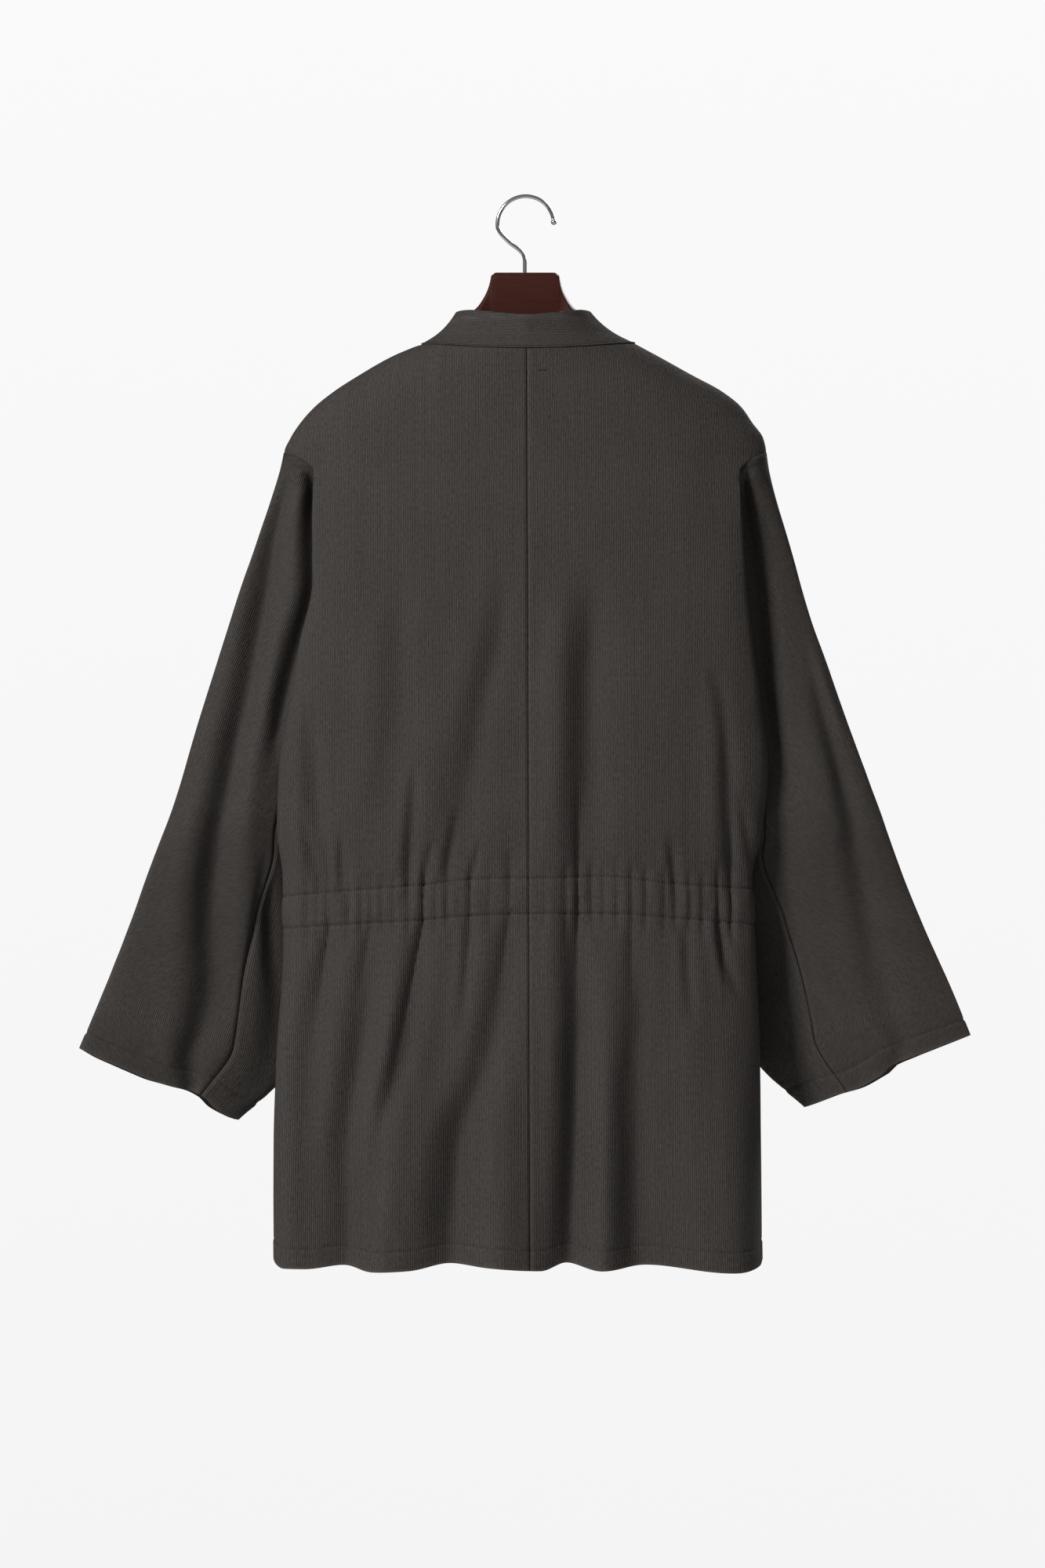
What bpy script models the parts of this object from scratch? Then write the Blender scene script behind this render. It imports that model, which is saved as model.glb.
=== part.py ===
"""A samue jacket hung on a wooden hanger, its back towards -Y and its fronts crossed on the +Y side.

The origin is the top of the hook's inside, where a rail touches it. Sizes below are in millimetres, and
a drop is how far a point lies under the origin. Left and right are the wearer's: left is -X.
Each panel of cloth is a wall round level sections, worked out from the short tables below.
"""

import math
from collections import namedtuple

import bmesh
import bpy
import numpy as np
from mathutils import Vector

MM = 0.001
CLOTH = 1.2
BAND_THICK = 2.8
TIE_THICK = 1.6
GAP = 0.3

NECK_DROP = 134.6
ARM_TOP = 234.0
UNDERARM = 502.0
HEM_DROP = 978.0
LAYER_STEP = 6.0
BAND_WIDTH = 31.0
BACK_NECK_DIP = 4.8
LAP = 1.5

HOOK_WIRE = 3.6
HOOK_RADIUS = 25.9
HOOK_BALL = 2.7
WOOD_TOP = 68.4
STEM_DEPTH = 18.0
STEM_ACROSS = -0.4
RING_ACROSS = 0.4
RING_UP = -24.1
RING_START = 9.0
RING_END = 188.0
RING_STEPS = 18
WIRE_SIDES = 8
WOOD_SIDES = 12
WOOD_SQUARE = 0.8

TIE_WIDTH = 22.0
TIE_LENGTH = 190.0
TIE_DROP = 640.0
TIE_ROWS = 8

CLOTH_COLOUR = (0.042, 0.037, 0.034)
SLEEVE_COLOUR = (0.036, 0.032, 0.029)
COLLAR_COLOUR = (0.046, 0.041, 0.037)
CLOTH_ROUGH = 0.9
WOOD_COLOUR = (0.048, 0.013, 0.009)
WOOD_ROUGH = 0.3
CHROME_COLOUR = (0.62, 0.61, 0.60)
CHROME_ROUGH = 0.18

# The body's outline: half widths from the centre out to the shoulder line, then to the side folds.
Width = namedtuple("Width", "drop left right")
BODY_WIDTH = [
    Width(134.6, 95.0, 100.8),
    Width(146.2, 122.4, 122.4),
    Width(163.4, 152.6, 153.4),
    Width(177.8, 175.0, 180.0),
    Width(192.2, 193.0, 198.0),
    Width(206.6, 205.9, 208.1),
    Width(221.0, 215.3, 218.2),
    Width(234.0, 220.7, 220.7),
    Width(238.0, 209.5, 211.0),
    Width(244.0, 199.6, 202.0),
    Width(252.0, 193.0, 196.0),
    Width(293.0, 193.7, 197.3),
    Width(350.6, 193.7, 200.9),
    Width(408.2, 205.2, 206.6),
    Width(465.8, 214.6, 214.6),
    Width(523.4, 224.6, 221.8),
    Width(581.0, 226.8, 216.5),
    Width(624.2, 222.0, 207.5),
    Width(681.8, 221.5, 210.2),
    Width(782.6, 225.4, 214.6),
    Width(897.8, 229.0, 216.0),
    Width(978.0, 229.0, 216.5),
]

# How deep the body stands behind and before its middle plane, and how square its sections are.
Depth = namedtuple("Depth", "drop back front square")
BODY_DEPTH = [
    Depth(134.6, 50.0, 52.0, 2.0),
    Depth(234.0, 50.0, 53.0, 2.0),
    Depth(300.0, 54.0, 56.0, 2.5),
    Depth(450.0, 56.0, 58.0, 2.6),
    Depth(560.0, 53.0, 57.0, 2.5),
    Depth(642.0, 47.0, 55.0, 2.3),
    Depth(720.0, 51.0, 57.0, 2.3),
    Depth(978.0, 61.0, 64.0, 2.4),
]

# The armhole and side seam: the fold that hides it, how far the cloth turns in there, and where it ends.
Turn = namedtuple("Turn", "drop fold inset edge sweep")
SIDE_TURN = [
    Turn(234.0, 0.5, 0.3, 0.4, 30.0),
    Turn(236.0, 9.0, 0.3, 8.5, 30.0),
    Turn(240.0, 17.0, 0.5, 15.5, 40.0),
    Turn(246.0, 24.0, 1.5, 19.0, 60.0),
    Turn(254.0, 28.0, 6.0, 15.0, 80.0),
    Turn(268.0, 30.0, 12.0, 13.0, 85.0),
    Turn(400.0, 29.0, 14.0, 12.0, 85.0),
    Turn(440.0, 26.0, 13.0, 11.0, 80.0),
    Turn(475.0, 20.0, 11.0, 6.5, 68.0),
    Turn(502.0, 16.0, 8.0, 0.9, 50.0),
    Turn(560.0, 10.0, 6.0, 0.8, 45.0),
    Turn(620.0, 8.0, 5.5, 0.8, 45.0),
    Turn(780.0, 8.0, 5.0, 0.8, 45.0),
    Turn(900.0, 6.0, 3.0, 0.7, 40.0),
    Turn(928.0, 6.0, 3.0, 0.8, 40.0),
    Turn(978.0, 8.0, 3.0, 4.0, 40.0),
]

# How much further in the fronts' side fold lies than the back's, behind which the sleeve passes.
Tuck = namedtuple("Tuck", "drop inward")
FRONT_TUCK = [
    Tuck(520.0, 0.0),
    Tuck(575.0, 4.0),
    Tuck(780.0, 4.0),
    Tuck(900.0, 0.0),
]

# The seam between a front and its neckband, from the shoulder to the hem.
Neckline = namedtuple("Neckline", "drop across")
NECKLINE = [
    Neckline(134.6, -96.5),
    Neckline(150.0, -84.0),
    Neckline(175.0, -71.0),
    Neckline(210.0, -54.0),
    Neckline(260.0, -29.0),
    Neckline(320.0, 1.0),
    Neckline(380.0, 31.0),
    Neckline(430.0, 56.0),
    Neckline(475.0, 73.0),
    Neckline(520.0, 79.5),
    Neckline(580.0, 80.0),
    Neckline(978.0, 80.0),
]

# The puckers that the waist casing makes, by their place across the back, and how far each fold runs.
Gather = namedtuple("Gather", "place depth up down lean")
GATHERS = [
    Gather(-199.0, 2.4, 45.0, 35.0, 0.0),
    Gather(-190.0, 1.8, 20.0, 22.0, 0.0),
    Gather(-180.0, 4.0, 60.0, 95.0, -0.15),
    Gather(-161.0, 2.4, 42.0, 28.0, 0.0),
    Gather(-150.0, 1.8, 16.0, 20.0, 0.0),
    Gather(-140.5, 2.2, 20.0, 90.0, -0.2),
    Gather(-131.0, 1.8, 15.0, 15.0, 0.0),
    Gather(-119.5, 2.2, 18.0, 18.0, 0.0),
    Gather(-106.5, 2.4, 66.0, 24.0, 0.0),
    Gather(-93.0, 4.2, 40.0, 190.0, -0.2),
    Gather(-81.0, 1.8, 15.0, 18.0, 0.0),
    Gather(-71.0, 2.0, 48.0, 16.0, 0.0),
    Gather(-50.0, 2.4, 36.0, 40.0, 0.0),
    Gather(-32.0, 1.2, 20.0, 20.0, 0.0),
    Gather(-14.0, 2.4, 32.0, 90.0, -0.15),
    Gather(18.0, 1.2, 20.0, 20.0, 0.0),
    Gather(37.0, 2.2, 20.0, 40.0, 0.0),
    Gather(48.0, 3.4, 95.0, 90.0, 0.0),
    Gather(61.0, 2.0, 20.0, 20.0, 0.0),
    Gather(72.0, 1.8, 15.0, 15.0, 0.0),
    Gather(84.0, 2.0, 25.0, 20.0, 0.0),
    Gather(97.0, 2.4, 20.0, 95.0, 0.0),
    Gather(110.0, 2.0, 20.0, 24.0, 0.0),
    Gather(127.0, 2.2, 24.0, 24.0, 0.0),
    Gather(137.0, 2.6, 50.0, 20.0, 0.1),
    Gather(150.0, 1.8, 20.0, 20.0, 0.0),
    Gather(162.0, 2.0, 20.0, 20.0, 0.0),
    Gather(176.0, 3.2, 30.0, 85.0, 0.1),
    Gather(189.0, 3.8, 90.0, 30.0, 0.05),
]
CASING_TOP = 625.0
CASING_BOTTOM = 658.0
GATHER_WIDTH = 4.6
LONG_GATHER_WIDTH = 8.0

# The long soft waves of the back's skirt: how far out they stand at the hem.
Wave = namedtuple("Wave", "place out")
BACK_WAVES = [
    Wave(-229.0, 0.0),
    Wave(-209.0, 9.0),
    Wave(-166.0, -9.0),
    Wave(-126.0, 12.0),
    Wave(-68.0, -11.0),
    Wave(-22.0, 12.0),
    Wave(37.0, -13.0),
    Wave(68.0, 8.0),
    Wave(110.0, -10.0),
    Wave(188.0, 12.0),
    Wave(216.0, 0.0),
]
FRONT_WAVES = [
    Wave(-229.0, 0.0),
    Wave(-195.0, 7.0),
    Wave(-140.0, -7.0),
    Wave(-60.0, 5.0),
    Wave(0.0, -4.0),
    Wave(60.0, 5.0),
    Wave(140.0, -7.0),
    Wave(190.0, 7.0),
    Wave(216.0, 0.0),
]
WAVES_START = 650.0

# The soft fold right of the centre seam, which ends above the waist: a crest and the trough beside it.
Chest = namedtuple("Chest", "place wide out")
CHEST_FOLD = [
    Chest(30.0, 26.0, 3.5),
    Chest(58.0, 18.0, -4.0),
]

# A sleeve's fold line on its outer side, and how thick the hanging tube is there.
Outer = namedtuple("Outer", "drop left right thick")
SLEEVE_OUTER = [
    Outer(234.0, 221.2, 221.2, 4.0),
    Outer(249.8, 224.6, 223.4, 17.0),
    Outer(268.0, 230.0, 227.6, 12.0),
    Outer(321.8, 247.7, 243.4, 11.0),
    Outer(379.4, 267.1, 259.9, 10.6),
    Outer(437.0, 285.8, 280.1, 10.0),
    Outer(494.6, 303.8, 300.2, 8.5),
    Outer(552.2, 321.1, 321.1, 10.5),
    Outer(609.8, 342.0, 342.0, 13.0),
    Outer(667.4, 362.9, 365.0, 15.0),
    Outer(725.0, 385.9, 391.0, 15.5),
    Outer(781.2, 409.0, 413.6, 14.0),
]

# Its inner fold, which passes behind the body's side as the photograph sees it.
Inner = namedtuple("Inner", "drop left right forward")
SLEEVE_INNER = [
    Inner(502.0, 215.6, 213.4, 0.0),
    Inner(514.0, 218.5, 216.2, 0.0),
    Inner(530.0, 220.8, 217.3, 0.5),
    Inner(560.0, 223.4, 216.0, 1.5),
    Inner(585.0, 225.6, 214.7, 9.0),
    Inner(610.0, 223.6, 208.8, 19.0),
    Inner(640.0, 221.0, 206.6, 30.0),
    Inner(690.0, 216.0, 205.0, 46.0),
    Inner(750.0, 211.0, 203.0, 54.0),
    Inner(800.0, 220.0, 212.0, 57.0),
    Inner(846.0, 266.4, 260.0, 50.0),
]
SleeveEnd = namedtuple("SleeveEnd", "outer_drop inner_drop")
CUFFS = {-1: SleeveEnd(781.2, 846.0), 1: SleeveEnd(769.0, 834.0)}
TILT_START = 520.0
SLEEVE_TOP = 238.4
SEAM_SLIT = 0.02
TROUGH_WIDE = 0.13

# The sleeve's one seam, on its back, from the underarm to the cuff: share of the way from inner to outer.
SeamLine = namedtuple("SeamLine", "drop share")
SLEEVE_SEAM = [
    SeamLine(502.0, 0.0),
    SeamLine(530.0, 0.01),
    SeamLine(585.0, 0.06),
    SeamLine(640.0, 0.25),
    SeamLine(700.0, 0.34),
    SeamLine(781.0, 0.26),
]

# The troughs along each sleeve: share of the way from the inner fold to the outer, and depth.
Trough = namedtuple("Trough", "drop share depth")
SLEEVE_TROUGH = [
    Trough(250.0, 0.5, 0.0),
    Trough(300.0, 0.62, 1.5),
    Trough(440.0, 0.68, 4.0),
    Trough(600.0, 0.62, 6.0),
    Trough(700.0, 0.58, 5.0),
    Trough(781.0, 0.52, 2.0),
]

# The neckband where it stands: how far its free edge lies in from the seam, and above it.
Stand = namedtuple("Stand", "angle inward up")
BAND_STAND = [
    Stand(0.0, 10.0, 30.2),
    Stand(45.0, 20.0, 33.0),
    Stand(90.0, 32.0, 28.6),
    Stand(140.0, 22.0, 22.0),
]

# The hanger's upper line from its head out to where the shoulders' cloth lies on it.
Arm = namedtuple("Arm", "across top")
HANGER_HEAD = [
    Arm(31.3, 71.0),
    Arm(32.4, 77.0),
    Arm(34.5, 84.0),
    Arm(39.0, 93.0),
    Arm(44.0, 100.0),
    Arm(60.0, 113.0),
    Arm(78.0, 127.0),
    Arm(96.0, 138.5),
]

# Half the wood's thickness, and how deep the wood is under its upper line.
Half = namedtuple("Half", "across thick")
HANGER_HALF = [
    Half(0.0, 11.0),
    Half(31.0, 11.0),
    Half(44.0, 13.5),
    Half(78.0, 16.0),
    Half(120.0, 20.0),
    Half(180.0, 20.0),
    Half(196.0, 13.0),
]
Deep = namedtuple("Deep", "across down")
HANGER_DEEP = [
    Deep(0.0, 72.0),
    Deep(31.0, 70.0),
    Deep(60.0, 42.0),
    Deep(100.0, 30.0),
    Deep(170.0, 26.0),
    Deep(190.0, 20.0),
    Deep(196.0, 12.0),
]
HANGER_TIP = {-1: 188.0, 1: 193.0}
HANGER_STATIONS = [1.0, 0.96, 0.86, 0.74, 0.62, 0.55, 0.5, 0.42, 0.32, 0.235, 0.2, 0.18, 0.17, 0.164]

# The hook's wire under its ring: an easy bend back to the middle, then the stem.
Bend = namedtuple("Bend", "across up")
HOOK_BEND = [
    Bend(-21.9, -33.2),
    Bend(-13.4, -41.7),
    Bend(-5.6, -47.5),
    Bend(-1.4, -52.6),
    Bend(STEM_ACROSS, -58.0),
    Bend(STEM_ACROSS, -63.0),
    Bend(STEM_ACROSS, -WOOD_TOP),
    Bend(STEM_ACROSS, -WOOD_TOP - STEM_DEPTH + 1.0),
]
BALL_SHARES = [-0.98, -0.75, -0.3, 0.25, 0.66]

# Each outer tie: its front's side, and how far across its middle line lies.
TIES = {"tie_outer_left": (-1, 96.0), "tie_outer_right": (1, 148.0)}

# The rows, as drops, and the columns, as shares of a row, at which each wall of cloth has its corners.
PLAIN_COLUMNS = [0.0, 0.16, 0.32, 0.48, 0.62, 0.74, 0.83, 0.89, 0.93, 0.96, 0.985, 1.0]
SIDE_COLUMNS = [0.955, 0.985, 1.0]
BACK_TOP_ROWS = [134.9, 142, 151, 163, 178, 193, 208, 222, 233.9]
ARM_ROWS = [234.6, 237.2, 241, 247, 256, 270, 310, 370, 430, 475, 502, 530]
BACK_SOFT_ROWS = [556, 580]
BACK_CASING_ROWS = [598, 614, 624, 641, 659, 669, 685]
BACK_SKIRT_ROWS = [704, 730, 770, 820, 875, 928, 953, 978]
FRONT_TOP_ROWS = [135.8, 142, 151, 163, 178, 193, 208, 222, 233.9]
FRONT_LOW_ROWS = [565, 605, 660, 720, 780, 850, 928, 953, 978]
FRONT_SHORT_COLUMNS = [0.0, 0.1, 0.25, 0.42, 0.6, 0.8, 1.0]
FRONT_COLUMNS = [0.0, 0.012, 0.03, 0.055, 0.09, 0.14, 0.2, 0.26, 0.33, 0.42, 0.55, 0.7, 0.85, 1.0]
SLEEVE_UNDERARM_ROWS = [506, 514]
SLEEVE_LOW_ROWS = [565, 610, 655, 700, 740]
SLEEVE_COLUMNS = 22
BAND_COLUMNS = [0.0, 0.25, 0.6, 1.0]
BAND_NECK_STEPS = 10


def course(places, values):
    """A smooth function through a table's points, which never swings past them."""
    places = np.array(places, float)
    values = np.array(values, float)
    step = np.diff(places)
    rise = np.diff(values) / step
    slope = np.zeros(len(values))
    slope[0] = rise[0]
    slope[-1] = rise[-1]
    same_way = rise[:-1] * rise[1:] > 0
    total = np.where(same_way, rise[:-1] + rise[1:], 1.0)
    slope[1:-1] = np.where(same_way, 2.0 * rise[:-1] * rise[1:] / total, 0.0)

    def at(place):
        place = np.clip(place, places[0], places[-1])
        i = np.clip(np.searchsorted(places, place, side="right") - 1, 0, len(step) - 1)
        t = (place - places[i]) / step[i]
        before = (1 + 2 * t) * (1 - t) ** 2 * values[i] + t * (1 - t) ** 2 * step[i] * slope[i]
        after = t * t * (3 - 2 * t) * values[i + 1] + t * t * (t - 1) * step[i] * slope[i + 1]
        return before + after

    return at


def column(table, name, place="drop"):
    """The course of one named column of a table."""
    return course([getattr(row, place) for row in table], [getattr(row, name) for row in table])


def straight(table, place):
    """What a table of two columns gives at a place, in straight steps between its rows."""
    return float(np.interp(place, [row[0] for row in table], [row[1] for row in table]))


def ease(value, start, end):
    """0 before start, 1 after end, and smooth between."""
    t = np.clip((value - start) / (end - start), 0.0, 1.0)
    return t * t * (3 - 2 * t)


body_width = {-1: column(BODY_WIDTH, "left"), 1: column(BODY_WIDTH, "right")}
back_depth = column(BODY_DEPTH, "back")
front_depth = column(BODY_DEPTH, "front")
squareness = column(BODY_DEPTH, "square")
turn_fold = column(SIDE_TURN, "fold")
turn_inset = column(SIDE_TURN, "inset")
turn_edge = column(SIDE_TURN, "edge")
turn_sweep = column(SIDE_TURN, "sweep")
front_tuck = column(FRONT_TUCK, "inward")
neckline_across = column(NECKLINE, "across")
back_wave = column(BACK_WAVES, "out", "place")
front_wave = column(FRONT_WAVES, "out", "place")
sleeve_outer = {-1: column(SLEEVE_OUTER, "left"), 1: column(SLEEVE_OUTER, "right")}
sleeve_thick = column(SLEEVE_OUTER, "thick")
sleeve_inner = {-1: column(SLEEVE_INNER, "left"), 1: column(SLEEVE_INNER, "right")}
sleeve_forward = column(SLEEVE_INNER, "forward")
seam_share = column(SLEEVE_SEAM, "share")
trough_share = column(SLEEVE_TROUGH, "share")
trough_depth = column(SLEEVE_TROUGH, "depth")
stand_inward = column(BAND_STAND, "inward", "angle")
stand_up = column(BAND_STAND, "up", "angle")


def centre_seam(drop):
    """The centre-back seam leans a little to the wearer's right on its way down."""
    return 1.4 + 2.9 * (drop - NECK_DROP) / (HEM_DROP - NECK_DROP)


def arc_height(share, depth, fold, square, drop):
    """How far a section stands out at a share of its half width. It ends at the fold's own depth.

    At the shoulder it is one arc cut off there, and lower down it rounds into the fold.
    """
    cut = (1 - (fold / depth) ** square) ** (1 / square)
    plain = depth * (1 - (share * cut) ** square) ** (1 / square)
    rounded = fold + (depth - fold) * (1 - share**square) ** (1 / square)
    blend = ease(drop, ARM_TOP + 2.0, 330.0)
    return plain * (1 - blend) + rounded * blend


def side_turn(half_width, drop, tuck=0.0, steps=40):
    """The stretch of a section that turns in from the side fold to the seam, as if on the +X, +Y side."""
    fold = turn_fold(drop)
    sweep = math.radians(turn_sweep(drop))
    reach = (fold - turn_edge(drop)) / math.sin(sweep)
    inset = (turn_inset(drop) - tuck) / (1 - math.cos(sweep))
    angle = np.linspace(0.0, sweep, steps)
    return half_width - inset * (1 - np.cos(angle)), fold - reach * np.sin(angle)


def back_line(side, drop, steps=160):
    """Half of the back's level section, from the centre seam out to the side edge."""
    wide = body_width[side](drop)
    fold = turn_fold(drop) if drop > ARM_TOP else 0.15
    square = squareness(drop)
    share = 1 - (1 - np.linspace(0.0, 1.0, steps)) ** 2
    across = centre_seam(drop) + side * GAP / 2
    x = across + (side * wide - across) * share
    y = -arc_height(share, back_depth(drop), fold, square, drop)
    if drop > ARM_TOP:
        turn_x, turn_y = side_turn(wide, drop)
        x = np.concatenate([x, side * turn_x[1:]])
        y = np.concatenate([y, -turn_y[1:]])
    return x, y


def layer_depth(side, drop):
    """The wearer's left front lies over the right one, from where their bands cross."""
    return front_depth(drop) - (LAYER_STEP * ease(drop, 175.0, 245.0) if side > 0 else 0.0)


def front_reach(side, across, drop):
    """How far forward a front stands at a place across the body."""
    wide = body_width[side](drop) - front_tuck(drop)
    fold = turn_fold(drop) if drop > ARM_TOP else 0.15
    share = np.clip(np.abs(across) / wide, 0.0, 1.0)
    return arc_height(share, layer_depth(side, drop), fold, squareness(drop), drop)


def neck_across(side, drop):
    """Where the seam between a front and its band lies. The table is the left front's."""
    return -side * neckline_across(drop) if side > 0 else neckline_across(drop)


def front_line(side, drop, steps=200):
    """A front's level section, from its side edge to the neckband."""
    wide = body_width[side](drop) - front_tuck(drop)
    last = side * (neck_across(side, drop) + side * GAP / 2) / wide
    share = 1 - (1 - last) * np.linspace(0.0, 1.0, steps) ** 2
    x = side * wide * share
    y = front_reach(side, x, drop)
    if drop > ARM_TOP:
        turn_x, turn_y = side_turn(wide, drop, front_tuck(drop))
        x = np.concatenate([side * turn_x[:0:-1], x])
        y = np.concatenate([turn_y[:0:-1], y])
    return x, y


def along(line, u):
    """Points at shares u of a section's length, and how squarely it faces back or front there."""
    x, y = line
    run = np.concatenate([[0.0], np.cumsum(np.hypot(np.diff(x), np.diff(y)))])
    run /= run[-1]
    slope_x = np.interp(u, run, np.gradient(x, run))
    slope_y = np.interp(u, run, np.gradient(y, run))
    squarely = np.abs(slope_x) / np.hypot(slope_x, slope_y)
    return np.interp(u, run, x), np.interp(u, run, y), squarely


def gather_relief(x, drop):
    """The puckers of the casing and the folds that run up and down from them, as a height outwards."""
    relief = np.zeros_like(x)
    for gather in GATHERS:
        past = max(CASING_TOP - drop, 0.0) / gather.up + max(drop - CASING_BOTTOM, 0.0) / gather.down
        if past >= 1.0:
            continue
        place = gather.place + gather.lean * max(drop - CASING_BOTTOM, 0.0)
        width = GATHER_WIDTH + (LONG_GATHER_WIDTH - GATHER_WIDTH) * past
        strength = gather.depth * (1 - past * past) ** 1.5
        relief -= strength * np.exp(-(((x - place) / width) ** 2))
    return relief


def back_relief(x, drop):
    """All that stands out from the back's plain section."""
    skirt = ease(drop, WAVES_START, HEM_DROP) * back_wave(x)
    chest = sum(fold.out * np.exp(-(((x - fold.place) / fold.wide) ** 2)) for fold in CHEST_FOLD)
    chest = chest * ease(drop, 330.0, 520.0) * (1 - ease(drop, 640.0, 720.0))
    return skirt + chest + gather_relief(x, drop)


def back_surface(side):
    """The middle of a back panel: u runs from the centre seam to the side, and the row is a drop."""

    def at(u, drop):
        x, y, squarely = along(back_line(side, drop), u)
        relief = back_relief(x, drop) * (1 - ease(u, 0.9, 1.0)) * ease(drop, 300.0, 420.0)
        dip = BACK_NECK_DIP * (1 - (x / 100.0) ** 2).clip(0.0) * (1 - ease(drop, NECK_DROP, 180.0))
        return np.stack([x, y - relief * squarely, -drop - dip], axis=1)

    return at


def front_surface(side):
    """The middle of a front panel: u runs from the side to the neckband."""

    def at(u, drop):
        x, y, squarely = along(front_line(side, drop), u)
        relief = ease(drop, WAVES_START, HEM_DROP) * front_wave(x) * ease(u, 0.0, 0.12)
        return np.stack([x, y + relief * squarely, np.full(len(x), -drop)], axis=1)

    return at


def front_point(side, across, drop):
    """A point of a front's middle surface."""
    lift = ease(drop, WAVES_START, HEM_DROP) * front_wave(across)
    return np.array([across, front_reach(side, across, drop) + lift, -drop])


def sleeve_surface(side):
    """The middle of a sleeve: u runs from the back edge, over the outer fold, round to where it began."""
    cuff = CUFFS[side]
    inner_end = SLEEVE_INNER[-1].drop

    def at(u, drop):
        outer_x = sleeve_outer[side](drop)
        thick = sleeve_thick(drop)
        tilt = ease(drop, TILT_START, cuff.outer_drop)
        if drop <= UNDERARM:
            inner_x = body_width[side](drop) - turn_inset(drop) + 2.5 * ease(drop, 440.0, 500.0)
            edge = max(turn_edge(drop) - LAP - 1.2 * (1 - ease(drop, 236.0, 250.0)), 0.3)
            thick = max(thick, edge)
            first = math.pi - math.asin(min(edge / thick, 1.0))
            last = -first
            half = (outer_x - inner_x) / (1 - math.cos(first))
            centre = np.array([outer_x - half, 0.0])
            way = np.array([half, 0.0])
            lower = 0.0
        else:
            inner_drop = drop + tilt * (cuff.inner_drop - cuff.outer_drop)
            inner_drop = inner_drop * (1 - tilt) + tilt * (inner_drop + inner_end - cuff.inner_drop)
            inner = np.array([sleeve_inner[side](inner_drop), sleeve_forward(inner_drop)])
            outer = np.array([outer_x, 4.0 * tilt])
            centre = (inner + outer) / 2
            way = (outer - inner) / 2
            seam_angle = math.acos(np.clip(2 * seam_share(drop) - 1, -1.0, 1.0))
            slit = min(2 * GAP / max(np.hypot(*way), 1.0), SEAM_SLIT)
            first = seam_angle - slit
            last = seam_angle - 2 * math.pi + slit
            lower = tilt * (cuff.inner_drop - cuff.outer_drop)
        angle = first + (last - first) * u
        normal = np.array([way[1], -way[0]]) / max(np.hypot(*way), 1e-6)
        shape = np.sign(np.sin(angle)) * np.abs(np.sin(angle)) ** 1.15
        share = (1 + np.cos(angle)) / 2
        on_back = np.clip(np.sin(angle), 0.0, 1.0)
        dent = trough_depth(drop) * np.exp(-(((share - trough_share(drop)) / TROUGH_WIDE) ** 2)) * on_back
        x = centre[0] + way[0] * np.cos(angle) + normal[0] * (thick * shape - dent)
        y = centre[1] + way[1] * np.cos(angle) + normal[1] * (thick * shape - dent)
        z = -drop - lower * (1 - share)
        return np.stack([side * x, y, z], axis=1)

    return at


def unit(vector):
    return vector / max(np.linalg.norm(vector), 1e-9)


def band_station(place):
    """A place along the neckband: its seam point, its free edge's point and the way it leaves the panel.

    The place runs from the left front's hem at -2, by the left shoulder at -1 and the centre back at 0,
    to the right shoulder at 1 and the right front's hem at 2.
    """
    side = -1 if place < 0 else 1
    if abs(place) <= 1:
        u = np.array([abs(place)])
        seam = back_surface(side)(u, NECK_DROP)[0]
        angle = 90.0 * abs(place)
        inward = unit(np.array([-seam[0], -seam[1] * 1.6, 0.0]))
        free = seam + inward * stand_inward(angle) + np.array([0, 0, stand_up(angle)])
        return seam, free, np.array([0.0, 0.0, 1.0]), GAP + 0.9 * abs(place) ** 2
    drop = NECK_DROP + (HEM_DROP - NECK_DROP) * (abs(place) - 1)
    across = neck_across(side, drop)
    seam = front_point(side, across, drop)
    ahead = (neck_across(side, drop + 2) - neck_across(side, drop - 0.5)) / 2.5
    steep = math.hypot(1.0, ahead)
    free_across = across - side * BAND_WIDTH / steep
    free_drop = drop - BAND_WIDTH * abs(ahead) / steep
    lying = ease(drop, NECK_DROP, 215.0)
    flat = front_point(side, free_across, max(free_drop, NECK_DROP + 1))
    flat[2] = -free_drop
    angle = 90.0 + 50.0 * ease(drop, NECK_DROP, 175.0)
    inward = unit(np.array([-seam[0], -seam[1] * 0.4, 0.0]))
    stood = seam + inward * stand_inward(angle) + np.array([0, 0, stand_up(angle)])
    free = stood * (1 - lying) + flat * lying
    near = front_point(side, across - side * 2.0 / steep, max(drop - 2.0 * abs(ahead) / steep, NECK_DROP))
    leave = unit(near - seam) * lying + np.array([0.0, 0.0, 1.0]) * (1 - lying)
    return seam, free, unit(leave), GAP + 0.9 * (1 - lying)


def band_surface(u, place):
    """The middle of the neckband: u runs from the seam to the free edge."""
    seam, free, leave, gap = band_station(place)
    wide = np.linalg.norm(free - seam)
    start = seam + leave * gap
    bend = start + leave * wide * 0.4
    t = u[:, None]
    return (1 - t) ** 2 * start + 2 * t * (1 - t) * bend + t * t * free


def skin(surface, us, row, step_u=1e-3, step_row=0.2, low=-1e9, high=1e9):
    """Points of a surface along one row, and the normals there."""
    us = np.array(us, float)
    u_low = np.clip(us - step_u, 0.0, 1.0)
    u_high = np.clip(us + step_u, 0.0, 1.0)
    over = surface(u_high, row) - surface(u_low, row)
    down = surface(us, min(row + step_row, high)) - surface(us, max(row - step_row, low))
    normal = np.cross(over, down)
    length = np.linalg.norm(normal, axis=1, keepdims=True)
    return surface(us, row), normal / np.maximum(length, 1e-12)


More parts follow.
